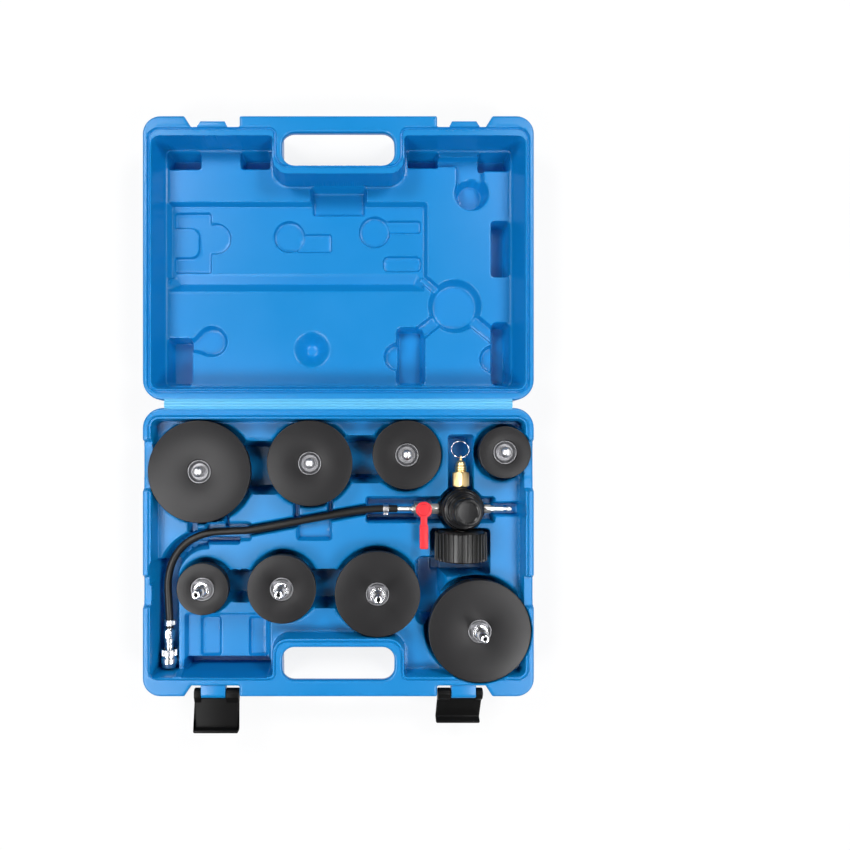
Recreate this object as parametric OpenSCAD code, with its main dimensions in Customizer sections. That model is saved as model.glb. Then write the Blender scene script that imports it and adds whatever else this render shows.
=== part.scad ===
// Turbo leak test set in a blow-moulded carrying case, lying open and flat.
// X runs to the right, Y from the case's front edge towards its hinge and lid, Z up.
// The origin is the centre of the base's underside. All lengths are in millimetres.

/* [Case] */
// Width of both halves of the case
case_w = 350; // [346:1:380]
// Depth of the base, from its front edge to its hinge side
base_d = 258; // [252:1:280]
// Depth of the lid, from its hinge side to its front edge
lid_d = 254; // [246:1:276]
// Height of each half, from its outer face to its rim
half_h = 48; // [46:0.5:60]
// Thickness of the moulded skin
skin = 2; // [1.5:0.1:2.5]
// Corner radius at the front of both halves
corner_front = 16; // [10:0.5:18]
// Corner radius at the hinge side of both halves
corner_hinge = 18; // [12:0.5:20]
// Width of the rim along the two sides
rim_side = 8; // [7:0.1:9]
// Width of the rim along the base's hinge side
rim_hinge = 10; // [8.5:0.1:11]
// Width of the rim along the front of both halves
rim_front = 18.2; // [17:0.1:20]

/* [Hinge] */
// Width of the thin web that joins base and lid
web_w = 7; // [6:0.1:10]
// Thickness of the web
web_t = 1.5; // [1:0.1:2]
// Length of the web along the hinge
web_l = 311; // [250:1:311]
// Gap between the two rims when the case is shut
shut_gap = 0.3; // [0.2:0.05:0.5]

/* [Handle] */
// Length of the hand hole in each half
grip_l = 100.4; // [90:0.5:104]
// Width of the hand hole, front to back
grip_w = 29; // [27:0.5:30]
// Corner radius of the hand hole
grip_r = 10.7; // [8:0.1:12]
// Distance from the front edge to the hand hole
grip_front = 15; // [14:0.5:16]
// Width of the moulded bar that surrounds the hand hole
grip_bar = 10.6; // [9.5:0.1:11]
// Thickness of the bar that the hand closes round, from the rim down
grip_t = 12; // [10:0.5:16]

/* [Rim seal] */
// Width of the tongue on the base's rim
tongue_w = 1.6; // [1.2:0.1:2]
// Height of the tongue above the rim
tongue_h = 1.2; // [0.8:0.1:1.5]
// Distance from the rim's inner edge to the middle of the tongue
tongue_in = 2.6; // [2:0.1:2.8]
// Clearance round the tongue in the lid's groove
tongue_gap = 0.35; // [0.3:0.05:0.4]

/* [Latches] */
// Side of the case to each latch's middle
latch_side = 65.4; // [63:0.1:69]
// Width of each latch
latch_w = 40.4; // [38:0.1:42]
// Length of a latch from its pivot to its lip
latch_l = 37; // [36.5:0.1:38]
// Thickness of a latch's plate
latch_t = 3; // [2.5:0.1:3.4]
// Height of the pivots above the underside
latch_z = 41; // [40.5:0.1:41.5]
// Distance of the pivots behind the base's front edge
latch_in = 1.6; // [1.3:0.1:1.9]
// Radius of the pivot pins
latch_pin_r = 2; // [1.5:0.1:2.4]
// Angle below level at which the right latch hangs
droop = 32; // [0:1:40]
// Radius of the lugs that the latches clip to
lug_r = 4.6; // [4.3:0.1:4.8]
// Width of the lugs
lug_w = 22; // [20:0.1:23]
// Depth of the notches round the latches
notch_d = 9.6; // [9.4:0.1:9.8]
// Distance of the lugs' middle outwards from the latch's middle
lug_out = 2.8; // [1.5:0.1:3.5]
// Clearance between a latch and what it moves past
latch_gap = 0.3; // [0.2:0.05:0.4]
// Height of the lip that hooks over the lid's catch
lip_h = 6.6; // [6.2:0.1:6.8]
// How far the lid's catches stand out of their notches
catch_out = 5; // [4.6:0.1:5.4]

/* [Tray] */
// Depth of the tray's upper face below the rim
tray_drop = 16; // [13:0.5:17]
// Depth of the lid's inner face below its rim
lid_drop = 26; // [25:0.5:28]
// Height of each step of the lid's pockets
lid_step = 3; // [2.5:0.1:3.4]
// Clearance between the tester and the floors and walls of its pockets
seat_gap = 0.3; // [0.2:0.05:0.5]
// Room for fingers round the tester's regulator
finger_gap = 1; // [0.8:0.1:1.2]
// Depth of the tester's channel below its pipe line
channel_d = 9; // [8.5:0.5:10]
// Half width of the tester's channel towards the hinge
channel_back = 10; // [9:0.5:11]
// Half width of the tester's channel towards the front
channel_front = 12; // [11:0.5:13]
// Width of the hose's lane
hose_lane = 10.5; // [10:0.1:12]

/* [Plugs] */
// Diameter of the largest step of the largest plugs
size_a = 90; // [88:1:91]
// Diameter of the largest step of the second size
size_b = 75; // [72:1:76]
// Diameter of the largest step of the third size
size_c = 60; // [57:1:61]
// Diameter of the largest step of the smallest plugs
size_d = 45; // [42:1:46]
// Number of steps
steps = 3; // [3:1:3]
// Difference in diameter from one step to the next
step_drop = 5; // [4:0.5:6]
// Height of each step
step_h = 10; // [9:0.1:10.2]
// Thickness of the flange on top
flange_t = 4; // [3.5:0.1:4.3]
// How far the flange stands out past the largest step
flange_over = 0.8; // [0.5:0.1:1]
// Clearance of a plug in its well
plug_gap = 0.6; // [0.5:0.05:0.7]
// Radius of the recess in the flange
recess_r = 10.7; // [10:0.1:12]
// Depth of the recess in the flange
recess_t = 4; // [3.5:0.1:5]
// Thickness of the dished washer
washer_t = 1; // [0.8:0.1:1.4]
// Radius of the stud's and nipple's shank
shank_r = 4; // [3.6:0.1:4.4]
// Height of an air nipple above its plug
nipple_h = 25; // [22:0.5:25]
// Radius of the nipple's tip
nipple_tip_r = 3.75; // [3.5:0.05:3.9]
// Radius of the air bore
air_r = 1.5; // [1.2:0.1:1.7]
// Height of a domed stud above its plug
dome_h = 8; // [6:0.5:10]
// Radius of the dome
dome_r = 4.8; // [4.4:0.1:5.4]
// Thickness of the head under each plug
foot_t = 3; // [2.5:0.1:3.5]
// Radius of the head under each plug
foot_r = 8; // [7:0.1:9]

/* [Plug places] */
// Side of the case to the first plug of the back row
back_left = 4.9; // [4:0.1:6]
// Side of the case to the last plug of both rows
row_right = 2.8; // [2.6:0.1:3]
// Side of the case to the first plug of the front row
front_left = 30.3; // [29:0.1:31]
// Share of the back row's free width between its first two plugs
back_share_1 = 0.345; // [0.29:0.005:0.4]
// Share of the back row's free width between its next two plugs
back_share_2 = 0.42; // [0.35:0.005:0.45]
// Share of the front row's free width after each of its first two plugs
front_share = 0.41; // [0.36:0.01:0.43]
// Free width for the safety valve, from its middle to the third plug
valve_room = 10; // [9.5:0.5:12]
// Tray wall to the three larger plugs of the back row
back_in = 1.2; // [1:0.1:2]
// Tray wall to the smallest plug of the back row
back_in_small = 6.4; // [4:0.1:8]
// Place of the two smaller plugs of the front row along Y
front_row_y = -33; // [-36:0.5:-30]
// Place of the third plug of the front row along Y
front_third_y = -37.4; // [-38:0.1:-34]
// Front edge of the case to the largest inlet plug
front_in = 12.6; // [12.4:0.1:14]

/* [Tester] */
// Right side of the case to the regulator's middle
reg_in = 63; // [62:0.5:64]
// Place of the tester's pipe line along Y
pipe_y = 37.5; // [37:0.5:38.5]
// Height of the tester's pipe line
pipe_z = 30; // [29.5:0.5:31]
// Radius of the regulator body
reg_r = 17.5; // [17:0.1:18]
// Depth of the regulator body below the pipe line
reg_below = 15; // [14:0.5:15]
// Height of the regulator body above the pipe line
reg_above = 7; // [7:0.5:8]
// Radius of the bonnet's flange
bonnet_r = 19.2; // [18.8:0.1:19.4]
// Thickness of the bonnet's flange
bonnet_t = 9; // [8:0.5:10]
// Radius of the bonnet's neck
neck_r = 13.8; // [13.4:0.1:14.2]
// Height of the bonnet's neck
neck_h = 6.5; // [6:0.5:8]
// Radius of the knob
knob_r = 12.5; // [12:0.1:13]
// Height of the knob
knob_h = 18; // [14:0.5:20]
// Running gap under the knob
knob_gap = 0.4; // [0.3:0.05:0.6]
// Radius of the adjusting screw
screw_r = 4; // [3.5:0.1:4.5]
// Running clearance of the screw, pins and stems
run_gap = 0.08; // [0.03:0.01:0.1]
// Radius of the body's two side bosses
boss_r = 6.6; // [6.2:0.1:6.8]
// Distance of the boss faces from the regulator's middle
boss_out = 20.5; // [20:0.1:21]
// Radius of the air passages
pipe_bore = 2; // [1.5:0.1:2.4]

/* [Supply nipple] */
// Width of its hexagon across flats
supply_hex = 8; // [7.5:0.1:9]
// Length of its hexagon
supply_hex_l = 6.6; // [5.5:0.1:7]
// Radius of its shank
supply_r = 2.7; // [2.4:0.05:3]
// Length of its shank
supply_l = 19.4; // [15:0.1:20]

/* [Ball valve] */
// Regulator's middle to the valve's middle
valve_out = 35; // [34:0.1:36]
// Length of the valve body
valve_l = 15.4; // [14:0.1:16]
// Radius of the valve body
valve_r = 7.2; // [6.8:0.1:7.6]
// Radius of the ball
ball_r = 5; // [4.6:0.1:5.2]
// Radius of the valve stem
stem_r = 2.4; // [2:0.1:2.8]
// Height of the stem boss above the pipe line
stem_boss = 9.6; // [9:0.1:10.5]
// Radius of the lever's round head
lever_head_r = 7.4; // [7:0.1:8]
// Thickness of the lever
lever_t = 2.6; // [2:0.1:3]
// Length of the lever from the stem
lever_l = 35.4; // [28:0.1:37]
// Width of the lever's bar
lever_w = 7.8; // [7:0.1:8.4]
// Width of the outlet connector's hexagon across flats
outlet_hex = 9; // [8:0.1:10]

/* [Hose] */
// Radius of the hose
hose_r = 3.5; // [3:0.1:3.8]
// Length of the hose tail outside the hose
tail_l = 15.6; // [14:0.1:17]
// Radius of the hose tail
tail_r = 2.8; // [2.4:0.1:3]
// Outer radius of the hose clamps
clamp_r = 4.6; // [4.4:0.1:5]
// Width of the hose clamps
clamp_w = 5; // [4:0.1:6]
// Width of the coupler's hexagon across flats
coupler_hex = 8.8; // [8.4:0.1:9.4]
// Length of the coupler's hexagon
coupler_hex_l = 9.2; // [8:0.1:10]
// Radius of the coupler's body behind its sleeve
coupler_r = 4.2; // [4:0.1:4.4]
// Length of the coupler's body
coupler_l = 26.5; // [25:0.1:26.8]
// Depth of the coupler's mouth, which takes an air nipple's tip
mouth_l = 13; // [11:0.5:14]
// Clearance of a nipple's tip in the coupler's mouth
mouth_gap = 0.1; // [0.05:0.01:0.15]
// Wall of the coupler's mouth
mouth_wall = 1.1; // [1:0.05:1.2]
// Radius of the coupler's sleeve
sleeve_r = 7.4; // [7:0.1:7.5]
// Length of the coupler's sleeve
sleeve_l = 17; // [15:0.1:17.5]
// How far the sleeve slides back
sleeve_travel = 3; // [2:0.1:3.5]

/* [Safety valve] */
// Width of its hexagon across flats
relief_hex = 14; // [13:0.1:14.4]
// Length of its hexagon
relief_hex_l = 13.2; // [12:0.1:14]
// Radius of its collar
relief_r = 5.4; // [5:0.1:6]
// Length of its collar
relief_collar = 3.2; // [3:0.1:4]
// Length of its cap
relief_cap = 7.4; // [6.5:0.1:8]
// Length of the eye that holds the ring
eye_l = 5; // [4.6:0.1:5.4]
// Radius of the pull ring to its wire's middle
ring_r = 8.1; // [7.5:0.1:8.6]
// Radius of the ring's wire
wire_r = 0.6; // [0.5:0.05:0.7]
// Angle below level at which the ring hangs
ring_droop = 22; // [10:1:24]
// Travel of the lifting stem
relief_lift = 2; // [1:0.1:3]

/* [Gauge] */
// Radius of the rubber boot without its teeth
boot_r = 22.1; // [21.8:0.1:22.3]
// Height of the boot's teeth
tooth_h = 1.8; // [1.2:0.1:2]
// Width of the boot's teeth
tooth_w = 1.6; // [1.2:0.1:2]
// Number of teeth
tooth_n = 31; // [25:1:36]
// Length of the boot, front to back
boot_l = 28; // [27:0.1:29]
// Radius of the boot's front opening
face_r = 17.9; // [17.5:0.1:18.3]
// Radius of the gauge case
gauge_r = 20; // [19.6:0.1:20.2]
// Gap between the bonnet and the boot's back
boot_back = 0.5; // [0.4:0.1:1]
// Radius of the dial
dial_r = 18.4; // [18:0.1:18.5]
// Length of the needle from its pivot
needle_l = 14.5; // [12:0.1:15.5]
// Angle of the zero mark, anticlockwise from three o'clock
zero_at = 217; // [200:1:235]

/* [Hidden] */
$fn = 64;
eps = 0.01;

case_blue = [0.10, 0.47, 0.80];
rubber_black = [0.12, 0.12, 0.12];
plug_grey = [0.27, 0.27, 0.28];

// Case outlines
side_x = case_w / 2;
front_y = -base_d / 2;
back_y = base_d / 2;
hinge_y = back_y + web_w / 2;
hinge_z = half_h + shut_gap / 2;
lid_near = back_y + web_w;
lid_far = lid_near + lid_d;
inner_x = side_x - rim_side;
tray_front = front_y + rim_front;
tray_back = back_y - rim_hinge;
cavity_near = lid_near + rim_hinge;
cavity_far = lid_far - rim_front;
inner_r = 7;
tray_z = half_h - tray_drop;
lid_z = half_h - lid_drop;
function lid_floor(n) = lid_z - n * lid_step;
base_grip_y = front_y + grip_front;
lid_grip_y = lid_far - grip_front - grip_w;
block_x = grip_l / 2 + grip_bar - 1.8;
block_y = base_grip_y + grip_w + grip_bar;
block_r = 14;
grip_wall = 3;

// Latches
latch_x = side_x - latch_side;
latch_y = front_y + latch_in;
latch_reach = 5.2;
notch_in = latch_x - latch_w / 2 - 1;
notch_out = latch_x + latch_w / 2 + 2;
notch_slope = 7;
lug_x = latch_x + lug_out;
lid_catch_z = 2 * hinge_z - (latch_z + latch_l - latch_t - latch_gap);

// Plugs
plug_h = flange_t + steps * step_h;
plug_top = half_h - shut_gap;
plug_z = plug_top - plug_h;
function flange_r(d) = d / 2 + flange_over;
r90 = flange_r(size_a);
r75 = flange_r(size_b);
r60 = flange_r(size_c);
r45 = flange_r(size_d);
reg_x = side_x - reg_in;
back_free = reg_x - valve_room + side_x - back_left - 2 * (r90 + r75 + r60);
front_free = case_w - front_left - row_right - 2 * (r90 + r75 + r60 + r45);
front_gap = front_share * front_free;
blank_90_x = -side_x + back_left + r90;
blank_75_x = blank_90_x + r90 + back_share_1 * back_free + r75;
blank_60_x = blank_75_x + r75 + back_share_2 * back_free + r60;
blank_45_x = side_x - row_right - r45;
inlet_45_x = -side_x + front_left + r45;
inlet_60_x = inlet_45_x + r45 + front_gap + r60;
inlet_75_x = inlet_60_x + r60 + front_gap + r75;
inlet_90_x = side_x - row_right - r90;
plug_at = [
  [blank_90_x, tray_back - back_in - r90], [blank_75_x, tray_back - back_in - r75],
  [blank_60_x, tray_back - back_in - r60], [blank_45_x, tray_back - back_in_small - r45],
  [inlet_45_x, front_row_y], [inlet_60_x, front_row_y],
  [inlet_75_x, front_third_y], [inlet_90_x, front_y + front_in + r90]];
plug_d = [size_a, size_b, size_c, size_d,
          size_d, size_c, size_b, size_a];

// Tester
reg_top = pipe_z + reg_above;
neck_z = reg_top + bonnet_t;
knob_z = neck_z + neck_h + knob_gap;
valve_x = reg_x - valve_out;
valve_left = valve_x - valve_l / 2;
valve_right = valve_x + valve_l / 2;
valve_thread = 2.4;
tail_end = valve_left - tail_l;
supply_x = reg_x + boss_out;
lever_z = pipe_z + stem_boss + 0.4;
relief_y = pipe_y + boss_out;
collar_y = relief_y + relief_hex_l;
cap_y = collar_y + relief_collar;
eye_y = cap_y + relief_cap;
clamp_room = 28;
relief_stem_r = 1.4;
ring_y = eye_y + eye_l - 2.2;
thread_r = 3.1;
socket_r = thread_r + 0.1;
socket_l = 4;
boot_y = pipe_y - bonnet_r - boot_back;
gauge_back = boot_y - 2.2;
gauge_front = boot_y - boot_l + 2.4;
dial_y = gauge_front + 4.4;

// Hose: its middle line, chosen by hand from the tester's tail to the coupler. Its first points
// keep their distance from the tester, its last ones from the side, and it spans what is between.
hose_right = tail_end - 28.7;
hose_left = -side_x + 109;
hose_span = hose_right - hose_left;
hose_route = [
  [tail_end, pipe_y, pipe_z], [tail_end - 13.7, 37.6, pipe_z], [hose_right, 36.6, pipe_z],
  [hose_left + 0.78 * hose_span, 33.8, pipe_z], [hose_left + 0.527 * hose_span, 29.6, pipe_z],
  [hose_left + 0.231 * hose_span, 24.4, pipe_z], [hose_left, 20.4, pipe_z],
  [hose_left - 16, 17.8, pipe_z], [hose_left - 34, 17, pipe_z], [hose_left - 52, 15.6, pipe_z],
  [hose_left - 67, 10.4, pipe_z], [hose_left - 79, 1.4, pipe_z], [hose_left - 87, -12, pipe_z],
  [hose_left - 90.6, -28, pipe_z], [hose_left - 90.4, -45, pipe_z],
  [hose_left - 89.6, -60, pipe_z], [hose_left - 89.4, -72, pipe_z]];
hose_bend = 38;
hose_bend_x = hose_left - 53;
hose_bend_y = -27.5;
hose_end = hose_route[len(hose_route) - 1];
coupler_x = hose_end[0];
coupler_y = hose_end[1];
coupler_end = coupler_y - coupler_hex_l;
coupler_tip = coupler_end - coupler_l;
mouth_r = nipple_tip_r + mouth_gap;
sleeve_bore = mouth_r + mouth_wall + run_gap;
hose_floor = pipe_z - hose_r - seat_gap;

function unit(v) = v / norm(v);
// Point on a smooth curve through four points, for t from 0 to 1 between the middle two
function spline(a, b, c, d, t) =
  0.5 * (2 * b + (c - a) * t + (2 * a - 5 * b + 4 * c - d) * t * t
         + (3 * b - a - 3 * c + d) * t * t * t);
function curve(p, cuts) = [
  for (i = [0:len(p) - 2], k = [0:cuts - 1])
    spline(p[max(i - 1, 0)], p[i], p[i + 1], p[min(i + 2, len(p) - 1)], k / cuts),
  p[len(p) - 1]];

// Round bar along a list of points, with upright rings of the given number of sides
module sweep(p, r, sides) {
  last = len(p) - 1;
  along = [for (i = [0:last]) unit(p[min(i + 1, last)] - p[max(i - 1, 0)])];
  across = [for (i = [0:last]) unit(cross(along[i], [0.001, 0.002, 1]))];
  points = [for (i = [0:last], k = [0:sides - 1])
    p[i] + r * (cos(360 * k / sides) * across[i] + sin(360 * k / sides) * cross(across[i], along[i]))];
  walls = [for (i = [0:last - 1], k = [0:sides - 1], half = [0:1])
    let (a = i * sides + k, b = i * sides + (k + 1) % sides)
      half == 0 ? [a, b, b + sides] : [a, b + sides, a + sides]];
  start = [for (k = [sides - 1:-1:0]) k];
  end = [for (k = [0:sides - 1]) last * sides + k];
  polyhedron(points, concat(walls, [start, end]));
}

// Coil spring standing on the XY plane, with flat-lying turns near its ends
module coil(r, wire, height, turns) {
  cuts = 14;
  last = turns * cuts;
  rise = (height - 2 * wire) / last;
  sweep([for (i = [0:last])
    [r * cos(360 * i / cuts), r * sin(360 * i / cuts), wire + i * rise]], wire, 6);
}

// Rounded rectangle between two corners, grown by g, with one radius for each pair of corners
module panel(x0, x1, y0, y1, r0, r1, g = 0) {
  translate([x0 - g, y0 + r0]) square([x1 - x0 + 2 * g, y1 - y0 - r0 - r1]);
  translate([x0 + r0, y0 - g]) square([x1 - x0 - 2 * r0, r0 + g + eps]);
  translate([x0 + r1, y1 - r1 - eps]) square([x1 - x0 - 2 * r1, r1 + g + eps]);
  for (x = [x0 + r0, x1 - r0]) translate([x, y0 + r0]) circle(r0 + g);
  for (x = [x0 + r1, x1 - r1]) translate([x, y1 - r1]) circle(r1 + g);
}

// Height of the cuts above the rim, so that they clear the tongue
over = 2;

// Rounded pocket with its floor at z, open at the rim, grown by g
module pocket(x0, x1, y0, y1, z, r, g = 0) {
  translate([0, 0, z - g]) linear_extrude(half_h - z + g + over) panel(x0, x1, y0, y1, r, r, g);
}

// Round pocket with its floor at z, open at the rim, grown by g
module round_pocket(x, y, z, r, g = 0) {
  translate([x, y, z - g]) cylinder(r = r + g, h = half_h - z + g + over);
}

// Straight lane between two points, with its floor at z, grown by g
module lane(a, b, z, w, g = 0) {
  d = [b[0] - a[0], b[1] - a[1]];
  translate([a[0], a[1], z - g]) rotate([0, 0, atan2(d[1], d[0])])
    translate([0, -w / 2 - g, 0]) cube([norm(d), w + 2 * g, half_h - z + g + over]);
}

// Cut at the front edge that makes room for one latch, right side of the case
module notch(edge, floor) {
  far = floor + 1.2 * (edge - floor);
  polygon([[notch_in, floor], [notch_out, floor], [notch_out + notch_slope, far], [notch_in, far]]);
}

// Outline of one half, with its hand hole and latch notches
module half_plan(y0, y1, r0, r1, grip_y, edge, floor) {
  difference() {
    panel(-side_x, side_x, y0, y1, r0, r1);
    panel(-grip_l / 2, grip_l / 2, grip_y, grip_y + grip_w, grip_r, grip_r);
    notch(edge, floor);
    mirror([1, 0]) notch(edge, floor);
  }
}

// Room for the fingers under the handle, between two lines along Y, grown by g
module grip_room(y0, y1, g) {
  translate([0, 0, -1]) linear_extrude(half_h - grip_t + 1 + g)
    panel(-grip_l / 2 - grip_wall, grip_l / 2 + grip_wall, y0, y1, grip_r, grip_r, g);
}

// Room under the base's handle
module base_grip_room(g) {
  grip_room(front_y - 2 * grip_r, base_grip_y + grip_w + grip_wall, g);
}

// Room under the lid's handle
module lid_grip_room(g) {
  grip_room(lid_grip_y - grip_wall, lid_far + 2 * grip_r, g);
}

// Plan of the base's inside, which bends round the hand hole
module tray_plan(g = 0) {
  difference() {
    panel(-inner_x, inner_x, tray_front, tray_back, inner_r, inner_r, g);
    panel(-block_x, block_x, front_y - 2 * block_r, block_y, block_r, block_r, -g);
  }
}

// Plan of the lid's inside
module cavity_plan(g = 0) {
  difference() {
    panel(-inner_x, inner_x, cavity_near, cavity_far, inner_r, inner_r, g);
    panel(-block_x, block_x, 2 * hinge_y - block_y, lid_far + 2 * block_r, block_r, block_r, -g);
  }
}

// Two-stage well for one plug
module plug_well(i, g) {
  x = plug_at[i][0];
  y = plug_at[i][1];
  round_pocket(x, y, plug_z, plug_d[i] / 2 + plug_gap, g);
  round_pocket(x, y, plug_top - flange_t - shut_gap, flange_r(plug_d[i]) + plug_gap, g);
}

// Finger channel between two plugs, with the given half width
module finger(a, b, half, g) {
  y = (plug_at[a][1] + plug_at[b][1]) / 2;
  pocket(plug_at[a][0], plug_at[b][0], y - half, y + half, plug_z, 3, g);
}

// Everything that the base's tray is hollowed by
module tray_hollows(g) {
  low_left = -side_x + front_left + 4;
  low_right = -block_x - 4;
  translate([0, 0, tray_z - g]) linear_extrude(half_h - tray_z + g + over) tray_plan(g);
  for (i = [0:7]) plug_well(i, g);
  finger(0, 1, 17, g);
  finger(1, 2, 15, g);
  finger(4, 5, 11, g);
  finger(5, 6, 14, g);
  round_pocket(reg_x, pipe_y, pipe_z - reg_below, bonnet_r + finger_gap, g);
  pocket(tail_end - clamp_room, supply_x + supply_hex_l + 4, pipe_y - channel_front,
         pipe_y + channel_back, pipe_z - channel_d, 2, g);
  pocket(reg_x, inner_x - 1, pipe_y - 6, pipe_y + 6, pipe_z - 5, 2, g);
  pocket(reg_x - 10.5, reg_x + 10.5, pipe_y, eye_y, pipe_z - relief_hex / sqrt(3) - seat_gap, 2, g);
  pocket(reg_x - 10.5, reg_x + 10.5, cap_y, ring_y + 2.4 * ring_r,
         pipe_z - 2 * ring_r * sin(ring_droop) - wire_r - seat_gap, 2, g);
  pocket(reg_x - boot_r - 5.4, reg_x + boot_r + 3.4, boot_y - boot_l - 13, boot_y + 1,
         pipe_z - boot_r - tooth_h - seat_gap, 3, g);
  hose_lanes(g);
  pocket(-inner_x + 0.5, -side_x + front_left - 2.5, tray_front + 0.5, -9,
         pipe_z - sleeve_r - seat_gap, 2, g);
  pocket(hose_left + 28, hose_left + 59, 9, 26, hose_floor, 2, g);
  pocket(low_left, low_right, tray_front + 7.3, tray_front + 51.8, tray_z - 6, 3, g);
  pocket(low_left, low_right, tray_front + 0.5, tray_front + 10.8, plug_z, 2, g);
  pocket(low_left + 13.2, low_left + 31.7, tray_front + 11.8, tray_front + 48.8, tray_z - 10, 3, g);
  pocket(low_right - 20, low_right - 3, tray_front + 11.8, tray_front + 47.8, tray_z - 10, 3, g);
  pocket(block_x + 12, inlet_90_x - 32, tray_front + 48.8, tray_front + 98.8, plug_z + 2, 5, g);
}

// Lane that the hose lies in: slanted, straight, then round the corner
module hose_lanes(g) {
  lane([hose_left - 18, 17], [hose_right + 3, 37.6], hose_floor, hose_lane, g);
  pocket(hose_left - 56, hose_left - 14, 8.5, 25, hose_floor, 2, g);
  translate([hose_bend_x, hose_bend_y, hose_floor - g]) intersection() {
    difference() {
      cylinder(r = hose_bend + 9.5 + g, h = half_h);
      translate([0, 0, -1]) cylinder(r = hose_bend - 9.5 - g, h = half_h + 2);
    }
    translate([-2 * hose_bend, 0, 0]) cube([2 * hose_bend, 2 * hose_bend, half_h]);
  }
}

module base_shell() color(case_blue) {
  difference() {
    union() {
      linear_extrude(half_h)
        half_plan(front_y, back_y, corner_front, corner_hinge, base_grip_y, front_y,
                  front_y + notch_d);
      translate([0, 0, half_h - 1]) linear_extrude(tongue_h + 1) difference() {
        tray_plan(tongue_in + tongue_w / 2);
        tray_plan(tongue_in - tongue_w / 2);
      }
      for (side = [-1, 1]) translate([side * lug_x, 0, 0]) base_lug();
    }
    tray_hollows(0);
    base_grip_room(0);
    for (side = [-1, 1]) translate([side * lug_x - lug_w / 2 - 1, latch_y, latch_z])
      rotate([0, 90, 0]) cylinder(r = latch_pin_r + run_gap, h = lug_w + 2);
    difference() {
      translate([0, 0, skin]) linear_extrude(half_h - 2 * skin) difference() {
        panel(-side_x + skin, side_x - skin, front_y + notch_d + skin, back_y - skin,
              corner_front, corner_hinge - skin);
        panel(-grip_l / 2, grip_l / 2, base_grip_y, base_grip_y + grip_w, grip_r, grip_r, skin);
      }
      tray_hollows(skin);
      base_grip_room(skin);
    }
  }
}

// Rounded lug that one latch clips to
module base_lug() {
  translate([-lug_w / 2, latch_y, latch_z]) rotate([0, 90, 0]) cylinder(r = lug_r, h = lug_w);
  translate([-lug_w / 2, latch_y, latch_z - lug_r])
    cube([lug_w, notch_d - latch_in + 0.2, 2 * lug_r]);
}

// Everything that the lid's inside is hollowed by: deep pockets along its walls, a wide shallow
// recess with seats for fittings in it, and a round seat with lanes leading to it
module lid_hollows(g) {
  left = -inner_x;
  right = inner_x;
  near = cavity_near;
  far = cavity_far;
  deep = lid_floor(5);
  hub = [reg_x - 4, near + 79.5];
  translate([0, 0, lid_z - g]) linear_extrude(half_h - lid_z + g + over) cavity_plan(g);
  pocket(left + 8, left + 39, far - 19.3, far - 0.8, deep, 3, g);
  pocket(-block_x - 32, -block_x - 5, far - 18.8, far - 0.8, deep, 3, g);
  pocket(block_x + 5, block_x + 34, far - 17.8, far - 0.8, deep, 3, g);
  pocket(right - 37, right - 6.5, far - 20.8, far - 1.8, deep, 3, g);
  pocket(block_x + 33, right - 36, far - 16.8, far - 8.3, lid_floor(2), 1, g);
  pocket(right - 58, right - 31, far - 42.8, far - 15.8, lid_floor(2), 2, g);
  round_pocket(right - 43.5, far - 42.8, deep, 15.8, g);
  pocket(right - 25, right - 4.5, far - 119.3, far - 67.3, deep, 3, g);
  pocket(-26, 25.5, far - 62.3, far - 33.8, deep, 3, g);
  pocket(left + 5.5, reg_x - 30, far - 124.8, far - 49.8, lid_floor(2), 3, g);
  pocket(left + 5.5, reg_x - 30, far - 134.8, far - 121.8, lid_floor(1), 2, g);
  lid_seats(left, far, lid_floor(3), g);
  pocket(left + 5.5, left + 30.5, near + 5, near + 49.7, deep, 3, g);
  round_pocket(left + 48.5, near + 47, lid_floor(2), 14, g);
  lane([left + 27, near + 35], [left + 49, near + 47], lid_floor(2), 14, g);
  round_pocket(-25.2, near + 39, lid_floor(3), 15.5, g);
  round_pocket(hub[0], hub[1], lid_floor(2), 24.2, g);
  lane([block_x + 1, near + 42], hub, lid_floor(2), 13, g);
  lane([right - 17, near + 46], hub, lid_floor(2), 13, g);
  lane([reg_x - 34, near + 104], hub, lid_floor(2), 9, g);
  pocket(block_x - 5, block_x + 20.7, near + 5, near + 59, deep, 3, g);
  pocket(right - 24, right - 3, near + 5, near + 63.5, deep, 3, g);
  round_pocket(block_x - 4, near + 32, lid_floor(2), 13, g);
  round_pocket(right - 23, near + 30, lid_floor(2), 13, g);
}

// Seats in the lid's wide recess: one shaped like a C, two keyholes and an oblong
module lid_seats(left, far, floor, g) {
  round_pocket(left + 51, far - 81.8, floor, 14.4, g);
  pocket(left + 13, left + 46, far - 72.3, far - 57.8, floor, 2, g);
  pocket(left + 13, left + 46, far - 114.3, far - 99.8, floor, 2, g);
  pocket(left + 35.5, left + 52, far - 109.8, far - 59.8, floor, 2, g);
  round_pocket(-46.7, far - 80.1, floor, 14.4, g);
  pocket(-36, -7, far - 94.8, far - 77.8, floor, 2, g);
  round_pocket(33.3, far - 75.8, floor, 14.4, g);
  pocket(43, 76.5, far - 76.8, far - 65.3, floor, 2, g);
  pocket(41.5, 77, far - 112.8, far - 98.8, floor, 4, g);
}

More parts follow.
